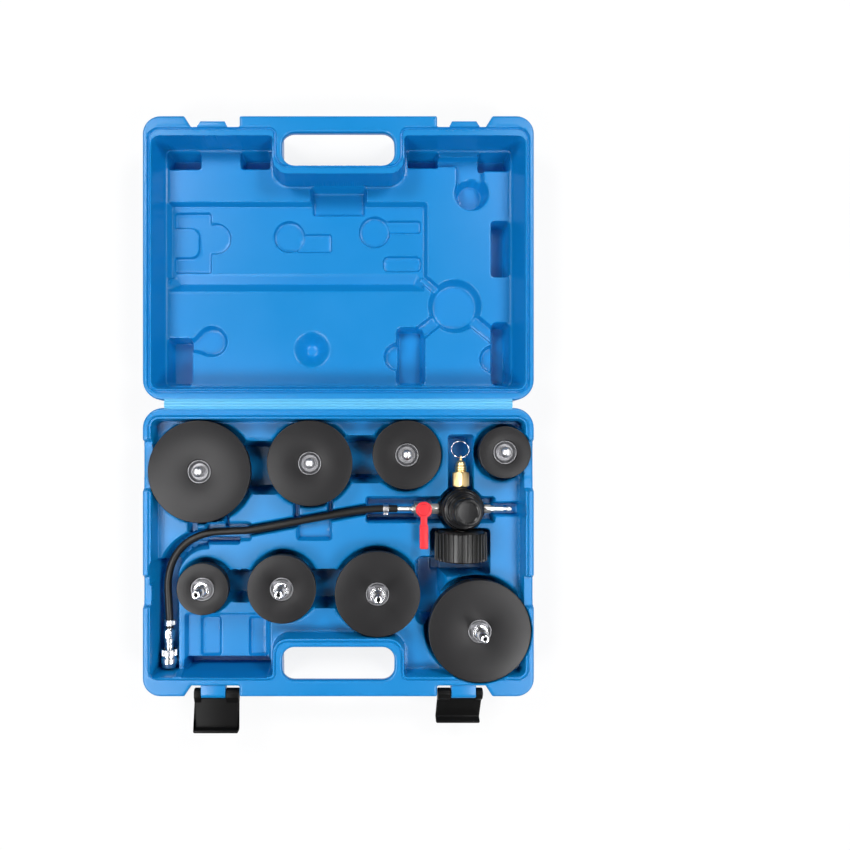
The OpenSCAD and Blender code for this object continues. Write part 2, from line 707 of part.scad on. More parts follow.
module lid_shell() color(case_blue) {
  difference() {
    union() {
      linear_extrude(half_h)
        half_plan(lid_near, lid_far, corner_hinge, corner_front, lid_grip_y, lid_far,
                  lid_far - notch_d);
      for (side = [-1, 1]) translate([side * lug_x - lug_w / 2, lid_far - notch_d - 1, lid_catch_z])
        cube([lug_w, catch_out + 1, half_h - lid_catch_z]);
    }
    lid_hollows(0);
    lid_grip_room(0);
    translate([0, 0, half_h - tongue_h - 2 * tongue_gap]) linear_extrude(half_h) difference() {
      groove_plan(tongue_in + tongue_w / 2 + tongue_gap);
      groove_plan(tongue_in - tongue_w / 2 - tongue_gap);
    }
    difference() {
      translate([0, 0, skin]) linear_extrude(half_h - 2 * skin - tongue_h) difference() {
        panel(-side_x + skin, side_x - skin, lid_near + skin, lid_far - notch_d - skin,
              corner_hinge - skin, corner_front);
        panel(-grip_l / 2, grip_l / 2, lid_grip_y, lid_grip_y + grip_w, grip_r, grip_r, skin);
      }
      lid_hollows(skin);
      lid_grip_room(skin);
    }
  }
}

// The base's tray plan turned over the hinge, which the lid's groove follows
module groove_plan(g) {
  translate([0, 2 * hinge_y]) mirror([0, 1]) tray_plan(g);
}

module hinge_web_base() color(case_blue)
  translate([-web_l / 2, back_y, half_h - web_t]) cube([web_l, web_w / 2 - shut_gap / 2, web_t]);

module hinge_web_lid() color(case_blue)
  translate([-web_l / 2, hinge_y + shut_gap / 2, half_h - web_t])
    cube([web_l, web_w / 2 - shut_gap / 2, web_t]);

// One latch, lying level from its pivot towards the front. lug_off is the lug's place on it.
module latch(lug_off) {
  inner = lug_w / 2 + latch_gap;
  plate_l = latch_l - latch_reach;
  translate([-latch_w / 2, -latch_l, -latch_t / 2]) cube([latch_w, plate_l, latch_t]);
  translate([-latch_w / 2, -latch_l, -latch_t / 2]) cube([latch_w, latch_t, latch_t + lip_h]);
  for (side = [-1, 1]) {
    x0 = side < 0 ? -latch_w / 2 : lug_off + inner;
    x1 = side < 0 ? lug_off - inner : latch_w / 2;
    translate([x0, 0, 0]) rotate([0, 90, 0]) cylinder(r = lug_r - latch_gap, h = x1 - x0);
    translate([x0, -latch_reach - 1, -latch_t / 2]) cube([x1 - x0, latch_reach + 1, latch_t]);
    translate([side < 0 ? x1 - eps : x0 - 5, 0, 0]) rotate([0, 90, 0])
      cylinder(r = latch_pin_r, h = 5 + eps);
  }
}

module latch_left() color([0.1, 0.1, 0.1])
  translate([-latch_x, latch_y, latch_z]) latch(latch_x - lug_x);

module latch_right() color([0.1, 0.1, 0.1])
  translate([latch_x, latch_y, latch_z]) rotate([droop, 0, 0]) latch(lug_x - latch_x);

// Stepped plug with its flange on top
module plug(i) {
  d = plug_d[i];
  color(plug_grey) translate([plug_at[i][0], plug_at[i][1], 0]) difference() {
    union() {
      for (k = [0:steps - 1]) translate([0, 0, plug_z + k * step_h])
        cylinder(r = (d - (steps - 1 - k) * step_drop) / 2,
                 h = step_h + (k < steps - 1 ? eps : 0));
      translate([0, 0, plug_top - flange_t]) cylinder(r = flange_r(d), h = flange_t);
    }
    translate([0, 0, plug_z - 1]) cylinder(r = shank_r + run_gap, h = plug_h + 2);
    translate([0, 0, plug_top - recess_t]) cylinder(r = recess_r, h = recess_t + 1);
    translate([0, 0, plug_z - 1]) cylinder(r = foot_r + 0.3, h = foot_t + 1);
  }
}

// Dished washer in the plug's recess
module washer(i) {
  bore = shank_r + run_gap;
  outer = recess_r - 0.3;
  color("silver") translate([plug_at[i][0], plug_at[i][1], plug_top - recess_t]) rotate_extrude()
    polygon([[bore, 0], [outer - 2, 0], [outer, recess_t - washer_t], [outer, recess_t - 0.3],
             [outer - 1, recess_t - 0.3], [outer - 3, washer_t], [bore, washer_t]]);
}

// Shank with its foot, up to the washer
module shank(i) {
  translate([plug_at[i][0], plug_at[i][1], plug_z + 0.2]) {
    cylinder(r = foot_r, h = foot_t - 0.2);
    cylinder(r = shank_r, h = plug_h - recess_t + washer_t);
  }
}

module domed_stud(i) color("gainsboro") {
  shank(i);
  translate([plug_at[i][0], plug_at[i][1], plug_top - recess_t + washer_t]) {
    cylinder(r = dome_r, h = recess_t - washer_t + dome_h - dome_r);
    translate([0, 0, recess_t - washer_t + dome_h - dome_r]) difference() {
      sphere(r = dome_r);
      translate([0, 0, -dome_r - 1]) cube([3 * dome_r, 3 * dome_r, 2 * dome_r + 2], center = true);
    }
  }
}

module air_nipple(i) color("gainsboro") {
  seat = plug_top - recess_t + washer_t;
  top = plug_top + nipple_h;
  nut = shank_r + 2.6;
  collar = shank_r + 1;
  waist = shank_r + 0.1;
  neck = nipple_tip_r - 0.45;
  difference() {
    union() {
      shank(i);
      translate([plug_at[i][0], plug_at[i][1], 0]) {
        translate([0, 0, seat]) cylinder(r = nut, h = 7, $fn = 6);
        translate([0, 0, seat]) rotate_extrude() polygon([
          [0, 0], [collar, 0], [collar, 9], [waist, 10], [waist, 13.5], [collar, 14.5],
          [collar, 16.5], [neck, 18], [neck, 21], [nipple_tip_r, 22],
          [nipple_tip_r, top - seat - 0.8], [nipple_tip_r - 0.8, top - seat], [0, top - seat]]);
      }
    }
    translate([plug_at[i][0], plug_at[i][1], plug_z - 1]) cylinder(r = air_r, h = top);
  }
}

// Places a piece on the tester's pipe line, with its own Z turned to +X
module along_x(x) {
  translate([x, pipe_y, pipe_z]) rotate([0, 90, 0]) children();
}

// Places a piece on the line through the regulator, with its own Z turned to +Y
module along_y(y) {
  translate([reg_x, y, pipe_z]) rotate([-90, 0, 0]) children();
}

module regulator_body() color(rubber_black) difference() {
  union() {
    translate([reg_x, pipe_y, pipe_z - reg_below]) cylinder(r = reg_r, h = reg_below + reg_above);
    along_x(reg_x - boss_out) cylinder(r = boss_r, h = 2 * boss_out);
    along_y(pipe_y) cylinder(r = boss_r - 0.5, h = boss_out);
    along_y(pipe_y - bonnet_r) cylinder(r = boss_r - 0.5, h = bonnet_r);
  }
  along_x(reg_x - boss_out - 1) cylinder(r = pipe_bore, h = 2 * boss_out + 2);
  along_y(pipe_y - bonnet_r - 1) cylinder(r = pipe_bore, h = boss_out + bonnet_r + 2);
  translate([reg_x, pipe_y, reg_top - 3]) cylinder(r = 14, h = 4);
  translate([reg_x, pipe_y, pipe_z - 9]) cylinder(r = 3.4, h = 20);
  along_x(supply_x - socket_l) cylinder(r = socket_r, h = socket_l + 1);
  along_x(reg_x - boss_out - 1) cylinder(r = socket_r, h = socket_l + 1);
  along_y(relief_y - socket_l) cylinder(r = socket_r, h = socket_l + 1);
  along_y(pipe_y - bonnet_r - 1) cylinder(r = socket_r, h = socket_l + 1);
}

module regulator_diaphragm() color([0.3, 0.2, 0.15]) translate([reg_x, pipe_y, reg_top])
  cylinder(r = bonnet_r - 1.4, h = 1);

module regulator_poppet() color("goldenrod") translate([reg_x, pipe_y, pipe_z - 8.8]) {
  cylinder(r = 3.1, h = 5);
  cylinder(r = 1.2, h = reg_above + 8.8 - 0.1);
}

module range_spring() color("silver") translate([reg_x, pipe_y, reg_top + 1.2])
  coil(7, 0.7, neck_z - reg_top - 1.6, 4);

module regulator_bonnet() color(rubber_black) difference() {
  union() {
    translate([reg_x, pipe_y, reg_top]) cylinder(r = bonnet_r, h = bonnet_t);
    translate([reg_x, pipe_y, neck_z]) cylinder(r = neck_r, h = neck_h);
  }
  translate([reg_x, pipe_y, reg_top - 1]) cylinder(r = bonnet_r - 1.3, h = 2);
  translate([reg_x, pipe_y, reg_top]) cylinder(r = 11, h = bonnet_t + neck_h - 3);
  translate([reg_x, pipe_y, reg_top]) cylinder(r = screw_r + run_gap, h = 40);
}

module adjusting_screw() color("silver") {
  translate([reg_x, pipe_y, neck_z]) cylinder(r = 9, h = 2.4);
  translate([reg_x, pipe_y, neck_z]) cylinder(r = screw_r, h = neck_h + knob_gap + knob_h - 5);
}

module regulator_knob() color(rubber_black) translate([reg_x, pipe_y, knob_z]) difference() {
  union() {
    cylinder(r = knob_r, h = knob_h - 1.5);
    translate([0, 0, knob_h - 1.5 - eps]) cylinder(r1 = knob_r, r2 = knob_r - 1.5, h = 1.5);
  }
  translate([0, 0, -1]) cylinder(r = screw_r, h = knob_h - 4);
  for (a = [0:15:345]) rotate([0, 0, a]) translate([knob_r + 0.5, 0, 1])
    cylinder(r = 0.9, h = knob_h - 6);
}

module supply_nipple() color("gainsboro") difference() {
  union() {
    along_x(supply_x - socket_l) cylinder(r = thread_r, h = socket_l + eps);
    along_x(supply_x) cylinder(r = supply_hex / sqrt(3), h = supply_hex_l, $fn = 6);
    along_x(supply_x + supply_hex_l) rotate_extrude() polygon([
      [0, -eps], [supply_r + 0.5, -eps], [supply_r + 0.5, 4], [supply_r, 4.6],
      [supply_r, supply_l - 7.6], [supply_r - 0.7, supply_l - 6.8], [supply_r - 0.7, supply_l - 5],
      [supply_r, supply_l - 4.2], [supply_r, supply_l - 0.6], [supply_r - 0.6, supply_l],
      [0, supply_l]]);
  }
  along_x(supply_x - 5) cylinder(r = air_r, h = 60);
}

module outlet_connector() color([0.72, 0.66, 0.55]) difference() {
  union() {
    along_x(valve_right) cylinder(r = outlet_hex / sqrt(3), h = reg_x - boss_out - valve_right,
                                  $fn = 6);
    along_x(valve_right - valve_thread)
      cylinder(r = thread_r, h = reg_x - boss_out - valve_right + valve_thread + socket_l - 0.5);
  }
  along_x(valve_right - 5) cylinder(r = pipe_bore, h = 30);
}

module ball_valve_body() color([0.75, 0.7, 0.6]) difference() {
  union() {
    along_x(valve_left) cylinder(r = valve_r, h = valve_l);
    translate([valve_x, pipe_y, pipe_z]) cylinder(r = 4.6, h = stem_boss);
  }
  along_x(valve_left - 1) cylinder(r = socket_r, h = valve_l + 2);
  translate([valve_x, pipe_y, pipe_z]) sphere(r = ball_r + 0.1);
  translate([valve_x, pipe_y, pipe_z]) cylinder(r = stem_r + run_gap, h = 20);
}

module valve_ball() color("silver") translate([valve_x, pipe_y, pipe_z]) difference() {
  sphere(r = ball_r);
  rotate([90, 0, 0]) cylinder(r = pipe_bore, h = 20, center = true);
  translate([-0.8, -10, ball_r - 1.2]) cube([1.6, 20, 5]);
}

module valve_stem() color("silver") translate([valve_x, pipe_y, pipe_z]) {
  translate([0, 0, ball_r + 0.1]) cylinder(r = stem_r, h = lever_z - pipe_z + lever_t - ball_r - 0.2);
  intersection() {
    translate([-0.7, -10, ball_r - 1.1]) cube([1.4, 20, 1.3]);
    cylinder(r = stem_r, h = 20);
  }
}

module valve_lever() color("red") translate([valve_x, pipe_y, lever_z]) difference() {
  union() {
    cylinder(r = lever_head_r, h = lever_t);
    translate([0, 0, lever_t - eps]) cylinder(r1 = lever_head_r - 1, r2 = lever_head_r - 2, h = 0.8);
    translate([-lever_w / 2 + 0.6, -14, 0]) cube([lever_w - 1.2, 14, lever_t]);
    translate([-lever_w / 2, -lever_l, 0]) cube([lever_w, lever_l - 13.5, lever_t]);
  }
  translate([0, 0, -1]) cylinder(r = stem_r, h = lever_t + 1);
}

module hose_tail() color("silver") difference() {
  union() {
    along_x(tail_end) cylinder(r = tail_r, h = tail_l);
    along_x(valve_left - 2.4) cylinder(r = tail_r + 1.2, h = 2.4 - eps);
    along_x(valve_left - 1) cylinder(r = thread_r, h = valve_thread + 1);
  }
  along_x(tail_end - 1) cylinder(r = air_r, h = tail_l + 6);
}

module hose() color([0.07, 0.07, 0.07]) sweep(curve(hose_route, 4), hose_r, 12);

// Band clamp with its crimped ear, its own Z along the hose
module clamp() {
  difference() {
    union() {
      cylinder(r = clamp_r, h = clamp_w);
      translate([clamp_r - 0.6, -2.2, 0.4]) cube([2.2, 4.4, clamp_w - 0.8]);
    }
    translate([0, 0, -1]) cylinder(r = hose_r + 0.1, h = clamp_w + 2);
  }
}

module hose_clamps() color("silver") {
  translate([tail_end - 13, pipe_y, pipe_z]) rotate([0, 90, 0]) rotate([0, 0, -90]) clamp();
  translate([coupler_x - 0.2, coupler_y + 2.6, pipe_z]) rotate([-90, 0, 0]) clamp();
}

// Places a piece on the coupler's line, with its own Z pointing to the front
module along_coupler(y) {
  translate([coupler_x, y, pipe_z]) rotate([90, 0, 0]) children();
}

module coupler_connector() color("gainsboro") difference() {
  union() {
    along_coupler(coupler_y) cylinder(r = hose_r - 0.3, h = 2);
    along_coupler(coupler_y - 1) cylinder(r = coupler_hex / sqrt(3), h = coupler_hex_l - 1, $fn = 6);
    along_coupler(coupler_end + 1) cylinder(r = thread_r - 0.2, h = 4);
  }
  along_coupler(coupler_y + 1) cylinder(r = air_r, h = 30);
}

module coupler_body() color("gainsboro") difference() {
  union() {
    along_coupler(coupler_end) cylinder(r = coupler_r, h = coupler_l - mouth_l);
    along_coupler(coupler_end) cylinder(r = coupler_r + 0.5, h = 3);
    along_coupler(coupler_tip + mouth_l + 1.5) cylinder(r = mouth_r + mouth_wall, h = mouth_l + 1.5);
  }
  along_coupler(coupler_end + 1) cylinder(r = thread_r - 0.1, h = 5);
  along_coupler(coupler_end) cylinder(r = air_r, h = coupler_l + 1);
  along_coupler(coupler_tip + mouth_l) cylinder(r = mouth_r, h = mouth_l + 1);
}

// Knurled collar behind and sleeve in front, one piece that slides back
module coupler_sleeve() color("gainsboro") along_coupler(coupler_tip + sleeve_l - 0.3) rotate_extrude()
  polygon([
    [sleeve_bore, 0], [sleeve_r - 0.6, 0], [sleeve_r, 0.6], [sleeve_r, 5.4], [sleeve_r - 0.8, 6],
    [sleeve_r - 0.8, 7.4], [sleeve_r, 8], [sleeve_r, sleeve_l - 4.5], [sleeve_r - 1.8, sleeve_l],
    [sleeve_bore, sleeve_l]]);

module safety_valve_body() color([0.8, 0.65, 0.37]) difference() {
  union() {
    along_y(relief_y - socket_l + 0.5) cylinder(r = thread_r, h = socket_l - 0.5 + eps);
    along_y(relief_y) rotate([0, 0, 30])
      cylinder(r = relief_hex / sqrt(3), h = relief_hex_l, $fn = 6);
    along_y(collar_y - eps) cylinder(r = relief_r, h = relief_collar);
  }
  along_y(relief_y - 5) cylinder(r = pipe_bore, h = 8);
  along_y(relief_y + 2) cylinder(r = 4, h = relief_hex_l + relief_collar - 4);
  along_y(relief_y + 2) cylinder(r = relief_stem_r + run_gap, h = relief_hex_l + relief_collar);
}

module safety_valve_spring() color("silver") along_y(relief_y + 4.2)
  coil(3, 0.4, relief_hex_l + relief_collar - 6.4 - relief_lift, 5);

module safety_valve_stem() color([0.8, 0.65, 0.37]) difference() {
  union() {
    along_y(relief_y + 2.2) cylinder(r = 3.8, h = 2);
    along_y(relief_y + 2.2) cylinder(r = relief_stem_r, h = eye_y - relief_y);
    along_y(cap_y + 0.2) cylinder(r1 = relief_r - 0.2, r2 = 3, h = relief_cap);
    along_y(eye_y) cylinder(r = 1.6, h = eye_l);
  }
  translate([reg_x, ring_y, pipe_z]) rotate([0, 90, 0])
    cylinder(r = wire_r + 0.35, h = 10, center = true);
}

module pull_ring() color("silver")
  translate([reg_x, ring_y, pipe_z]) rotate([-ring_droop, 0, 0])
    translate([0, ring_r, 0]) rotate_extrude() translate([ring_r, 0]) circle(wire_r, $fn = 24);

module gauge_case() color("silver") difference() {
  union() {
    along_y(gauge_front) cylinder(r = gauge_r, h = gauge_back - gauge_front);
    along_y(gauge_back) cylinder(r = 4.6, h = boot_y + boot_back - gauge_back - eps);
    along_y(gauge_back) cylinder(r = thread_r, h = boot_y + boot_back - gauge_back + socket_l - 0.5);
  }
  along_y(gauge_front - 1) cylinder(r = gauge_r - 1, h = gauge_back - gauge_front - 0.5);
  along_y(gauge_back - 6) cylinder(r = pipe_bore - 0.6, h = 20);
}

module gauge_boot() color(rubber_black) difference() {
  union() {
    along_y(boot_y - boot_l) cylinder(r = boot_r, h = boot_l);
    for (k = [0:tooth_n - 1]) along_y(boot_y - boot_l + 1) rotate([0, 0, 360 * k / tooth_n])
      translate([boot_r - 0.5, -tooth_w / 2, 0]) cube([tooth_h + 0.5, tooth_w, boot_l - 2]);
  }
  along_y(gauge_front - 0.2) cylinder(r = gauge_r + 0.1, h = gauge_back - gauge_front + 0.4);
  along_y(boot_y - boot_l - 1) cylinder(r = face_r, h = 10);
  along_y(gauge_back) cylinder(r = 5.2, h = 10);
}

module gauge_lens() color([0.9, 0.95, 1, 0.3]) along_y(gauge_front + 0.2)
  cylinder(r = gauge_r - 1.2, h = 1.4);

module gauge_dial() color("white") difference() {
  along_y(dial_y) cylinder(r = dial_r, h = 0.6);
  along_y(dial_y - 1) cylinder(r = 1.4, h = 4);
}

module dial_screws() color("silver") for (x = [-3.5, 3.5]) translate([reg_x + x, 0, -12])
  translate([0, dial_y - eps, pipe_z]) rotate([90, 0, 0]) cylinder(r1 = 1.85, r2 = 1.2, h = 0.8);

module gauge_needle() color("black") {
  translate([reg_x, dial_y - 1.4, pipe_z]) rotate([0, -zero_at, 0]) {
    translate([0, -0.25, 0]) rotate([90, 0, 0]) linear_extrude(0.5)
      polygon([[needle_l, 0], [0, 0.9], [-7.6, 2.3], [-7.6, -2.3], [0, -0.9]]);
    rotate([90, 0, 0]) cylinder(r = 2.5, h = 1);
  }
  along_y(dial_y - 2) cylinder(r = 0.8, h = 12);
}

module bourdon_tube() color("goldenrod") {
  along_y(dial_y + 9) rotate([0, 0, 90]) rotate_extrude(angle = 270) translate([12, 0])
    square([2, 5], center = true);
  translate([reg_x - 3, dial_y + 6.5, pipe_z - 13]) cube([3.5, gauge_back - dial_y - 8, 4]);
}

base_shell();
lid_shell();
hinge_web_base();
hinge_web_lid();
latch_left();
latch_right();
plug(0);  // blank_plug_90
plug(1);  // blank_plug_75
plug(2);  // blank_plug_60
plug(3);  // blank_plug_45
plug(4);  // inlet_plug_45
plug(5);  // inlet_plug_60
plug(6);  // inlet_plug_75
plug(7);  // inlet_plug_90
washer(0);  // blank_washer_90
washer(1);  // blank_washer_75
washer(2);  // blank_washer_60
washer(3);  // blank_washer_45
washer(4);  // inlet_washer_45
washer(5);  // inlet_washer_60
washer(6);  // inlet_washer_75
washer(7);  // inlet_washer_90
domed_stud(0);  // domed_stud_90
domed_stud(1);  // domed_stud_75
domed_stud(2);  // domed_stud_60
domed_stud(3);  // domed_stud_45
air_nipple(4);  // air_nipple_45
air_nipple(5);  // air_nipple_60
air_nipple(6);  // air_nipple_75
air_nipple(7);  // air_nipple_90
regulator_body();
regulator_diaphragm();
regulator_poppet();
range_spring();
regulator_bonnet();
adjusting_screw();
regulator_knob();
supply_nipple();
outlet_connector();
ball_valve_body();
valve_ball();
valve_stem();
valve_lever();
hose_tail();
hose();
hose_clamps();
coupler_connector();
coupler_body();
coupler_sleeve();
safety_valve_body();
safety_valve_spring();
safety_valve_stem();
pull_ring();
gauge_case();
gauge_boot();
gauge_lens();
gauge_dial();
dial_screws();
gauge_needle();
bourdon_tube();
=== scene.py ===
import math

import bmesh
import bpy
import numpy as np
from mathutils import Matrix, Vector
from mathutils.geometry import delaunay_2d_cdt


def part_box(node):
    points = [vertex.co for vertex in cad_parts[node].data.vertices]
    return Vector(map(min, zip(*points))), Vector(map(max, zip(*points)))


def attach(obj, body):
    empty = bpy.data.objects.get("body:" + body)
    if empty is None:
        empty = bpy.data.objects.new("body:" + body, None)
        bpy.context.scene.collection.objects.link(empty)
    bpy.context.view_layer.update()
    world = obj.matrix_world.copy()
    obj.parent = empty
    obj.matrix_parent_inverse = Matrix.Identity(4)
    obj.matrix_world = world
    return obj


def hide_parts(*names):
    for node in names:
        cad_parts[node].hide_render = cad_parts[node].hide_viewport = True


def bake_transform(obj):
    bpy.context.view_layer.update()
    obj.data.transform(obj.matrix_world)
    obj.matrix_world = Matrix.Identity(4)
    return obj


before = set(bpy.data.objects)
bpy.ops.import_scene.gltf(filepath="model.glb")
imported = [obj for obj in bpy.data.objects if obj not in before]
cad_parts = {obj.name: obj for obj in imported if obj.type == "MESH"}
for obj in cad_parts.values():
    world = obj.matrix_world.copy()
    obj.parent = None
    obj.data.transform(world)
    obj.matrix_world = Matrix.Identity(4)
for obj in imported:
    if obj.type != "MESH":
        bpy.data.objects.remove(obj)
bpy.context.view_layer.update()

# Camera
# The photograph looks straight down from 600 mm above the rims of the open case.
# Its optical axis meets the page left of and below the page's middle, so the lens is shifted.
camera_data = bpy.data.cameras.new("camera")
camera = bpy.data.objects.new("camera", camera_data)
bpy.context.scene.collection.objects.link(camera)
bpy.context.scene.camera = camera
rim_height = 0.048
camera_above_rim = 0.6
camera.location = (0.0149, 0.0896, rim_height + camera_above_rim)
photo_side = 850
metres_per_pixel = 0.000892
camera_data.sensor_width = 36
camera_data.lens = 36 * camera_above_rim / (photo_side * metres_per_pixel)
camera_data.shift_x = 70 / photo_side
camera_data.shift_y = 27 / photo_side
bpy.context.scene.view_settings.view_transform = "Standard"

# Floor and light
# A wide white table in a dim room with pale walls to the left and right. A soft lamp stands at
# each corner, and two reflecting panels hang high beside the camera and put the sheen on it.
floor_half, floor_level = 6, -0.0005
floor_mesh = bpy.data.meshes.new("floor")
floor_mesh.from_pydata([(x * floor_half, y * floor_half, floor_level)
                        for x, y in ((-1, -1), (1, -1), (1, 1), (-1, 1))], [], [(0, 1, 2, 3)])
floor = bpy.data.objects.new("floor", floor_mesh)
bpy.context.scene.collection.objects.link(floor)


def wired(tree, kind, sockets=None, **settings):
    """New node: its settings, and for each socket a value or the output that it is linked to."""
    made = tree.nodes.new(kind)
    for name, value in settings.items():
        setattr(made, name, value)
    for name, value in (sockets or {}).items():
        if isinstance(value, bpy.types.NodeSocket):
            tree.links.new(value, made.inputs[name])
        else:
            made.inputs[name].default_value = value
    return made


def seen_directly(tree):
    """1 for camera, glossy and transmission rays, and 0 for the rays that light the object."""
    path = wired(tree, "ShaderNodeLightPath").outputs
    either = wired(tree, "ShaderNodeMath", {0: path["Is Camera Ray"], 1: path["Is Glossy Ray"]},
                   operation="MAXIMUM")
    any_of = wired(tree, "ShaderNodeMath", {0: either.outputs[0], 1: path["Is Transmission Ray"]},
                   operation="MAXIMUM")
    return any_of.outputs[0]


white_table = bpy.data.materials.new("white_table")
white_table.use_nodes = True
tree = white_table.node_tree
tree.nodes.clear()
paint = wired(tree, "ShaderNodeBsdfDiffuse", {"Color": (0.88, 0.88, 0.88, 1)})
glow = wired(tree, "ShaderNodeEmission", {"Strength": 1})
glow_share = 0.86
share = wired(tree, "ShaderNodeMath", {0: seen_directly(tree), 1: glow_share}, operation="MULTIPLY")
mixed = wired(tree, "ShaderNodeMixShader",
              {"Fac": share.outputs[0], 1: paint.outputs[0], 2: glow.outputs[0]})
wired(tree, "ShaderNodeOutputMaterial", {"Surface": mixed.outputs[0]})
floor_mesh.materials.append(white_table)

world = bpy.data.worlds.new("pale_room")
bpy.context.scene.world = world
world.use_nodes = True
tree = world.node_tree
tree.nodes.clear()
way = wired(tree, "ShaderNodeTexCoord")
level = wired(tree, "ShaderNodeSeparateXYZ", {0: way.outputs["Generated"]})
sideways = wired(tree, "ShaderNodeMath", {0: level.outputs["X"]}, operation="ABSOLUTE")
pale_walls = wired(tree, "ShaderNodeMapRange", {
    "From Min": 0.45, "From Max": 0.90, "To Min": 0.12, "To Max": 0.95, "Value": sideways.outputs[0]})
room_light = wired(tree, "ShaderNodeMix", {
    "A": 0.02, "B": pale_walls.outputs["Result"], "Factor": seen_directly(tree)})
path = wired(tree, "ShaderNodeLightPath")
backdrop = wired(tree, "ShaderNodeMix", {
    "A": room_light.outputs["Result"], "B": 1.0, "Factor": path.outputs["Is Camera Ray"]})
sky = wired(tree, "ShaderNodeBackground", {"Strength": backdrop.outputs["Result"]})
wired(tree, "ShaderNodeOutputWorld", {"Surface": sky.outputs[0]})

def soft_lamp(name, place, size, watts, only_sheen=False):
    """Lamp aimed at the middle of the set, or a panel that only shows in its polished faces."""
    data = bpy.data.lights.new(name, "AREA")
    data.shape = "RECTANGLE"
    data.size, data.size_y = size
    data.energy = watts
    lamp = bpy.data.objects.new(name, data)
    bpy.context.scene.collection.objects.link(lamp)
    lamp.location = place
    lamp.rotation_euler = (set_middle - Vector(place)).to_track_quat("-Z", "Y").to_euler()
    lamp.visible_diffuse = not only_sheen


set_middle = Vector((0, 0.12, 0))
lamp_height, lamp_side, lamp_watts = 1.22, 0.5, 12.5
for name, x, y in (("front_left", -0.8, -0.68), ("front_right", 0.8, -0.68),
                   ("back_left", -0.8, 0.92), ("back_right", 0.8, 0.92)):
    soft_lamp(f"{name}_lamp", (x, y, lamp_height), (lamp_side, lamp_side), lamp_watts)
soft_lamp("left_panel", (-0.80, -0.14, 1.58), (0.4, 1.2), 15, only_sheen=True)
soft_lamp("right_panel", (0.74, -0.14, 1.58), (0.4, 0.6), 7, only_sheen=True)

# Hose
# Black rubber hose, 7 mm across and as long as the photograph shows it from end to end. It lies
# in the lanes of the tray, from the hose tail at the tester round the corner to the coupler.
hose_radius = 0.0035
hose_height = 0.030
hose_turns = [
    (0.0537, 0.0375), (0.040, 0.0376), (0.025, 0.0366), (0.005, 0.0338), (-0.018, 0.0296),
    (-0.045, 0.0244), (-0.066, 0.0204), (-0.082, 0.0178), (-0.100, 0.017), (-0.118, 0.0156),
    (-0.133, 0.0104), (-0.145, 0.0014), (-0.153, -0.012), (-0.1566, -0.028), (-0.1564, -0.045),
    (-0.1556, -0.060), (-0.1554, -0.072)]


def along_hose(cuts):
    """Points on the smooth line through the hose's turns."""
    line = [Vector((x, y, hose_height)) for x, y in hose_turns]
    points = []
    for i in range(len(line) - 1):
        a, b = line[max(i - 1, 0)], line[i]
        c, d = line[i + 1], line[min(i + 2, len(line) - 1)]
        for k in range(cuts):
            t = k / cuts
            points.append(0.5 * (2 * b + (c - a) * t + (2 * a - 5 * b + 4 * c - d) * t * t
                                 + (3 * b - a - 3 * c + d) * t * t * t))
    points.append(line[-1])
    return points


def new_finish(name, gloss, metallic):
    """New material, its node tree and its Principled shader."""
    material = bpy.data.materials.new(name)
    material.use_nodes = True
    skin = material.node_tree.nodes["Principled BSDF"]
    skin.inputs["Specular IOR Level"].default_value = gloss
    skin.inputs["Metallic"].default_value = metallic
    return material, material.node_tree, skin


def patterned(tree, skin, colour, spread, roughness, patches, height, strength, depth):
    """Colour and roughness that vary over patches, and a bump from a height."""
    tint = wired(tree, "ShaderNodeMix", {
        "A": (*[c * (1 - spread) for c in colour], 1), "Factor": patches,
        "B": (*[min(1, c * (1 + spread)) for c in colour], 1)}, data_type="RGBA")
    polish = wired(tree, "ShaderNodeMapRange", {
        "To Min": roughness[0], "To Max": roughness[1], "Value": patches})
    bump = wired(tree, "ShaderNodeBump", {"Strength": strength, "Distance": depth, "Height": height})
    tree.links.new(tint.outputs["Result"], skin.inputs["Base Color"])
    tree.links.new(polish.outputs["Result"], skin.inputs["Roughness"])
    tree.links.new(bump.outputs["Normal"], skin.inputs["Normal"])


def moulded(name, colour, roughness, grain, grain_size, mottle=0.06, gloss=0.5, metallic=0.0):
    """Moulded plastic or rubber: a fine pebbled grain, and a faint cloudiness in the colour."""
    material, tree, skin = new_finish(name, gloss, metallic)
    place = wired(tree, "ShaderNodeTexCoord").outputs["Object"]
    cloud = wired(tree, "ShaderNodeTexNoise", {"Scale": 22, "Detail": 3, "Vector": place})
    pebbles = wired(tree, "ShaderNodeTexNoise", {"Scale": 1 / grain_size, "Detail": 2, "Vector": place})
    patterned(tree, skin, colour, mottle, (roughness - 0.06, roughness + 0.06), cloud.outputs["Fac"],
              pebbles.outputs["Fac"], grain, 0.0002)
    return material


hose_line = along_hose(8)
hose_curve = bpy.data.curves.new("air_hose", "CURVE")
hose_curve.dimensions = "3D"
hose_curve.bevel_depth = hose_radius
hose_curve.bevel_resolution = 5
hose_curve.use_fill_caps = True
hose_spline = hose_curve.splines.new("POLY")
hose_spline.points.add(len(hose_line) - 1)
hose_spline.points.foreach_set("co", [c for p in hose_line for c in (*p, 1)])
hose_spline.use_smooth = True
hose = bpy.data.objects.new("air_hose", hose_curve)
bpy.context.scene.collection.objects.link(hose)
hose_rubber = moulded("hose_rubber", (0.013, 0.012, 0.011), 0.34, 0.12, 0.0007, gloss=0.28)
hose_curve.materials.append(hose_rubber)
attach(hose, "tester")
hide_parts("hose")

# Case, base half
# Blow-moulded polyethylene. Its inner skin dips into a rounded pocket for each plug and for the
# tester, and its rim carries the raised tongue that seals the lid.


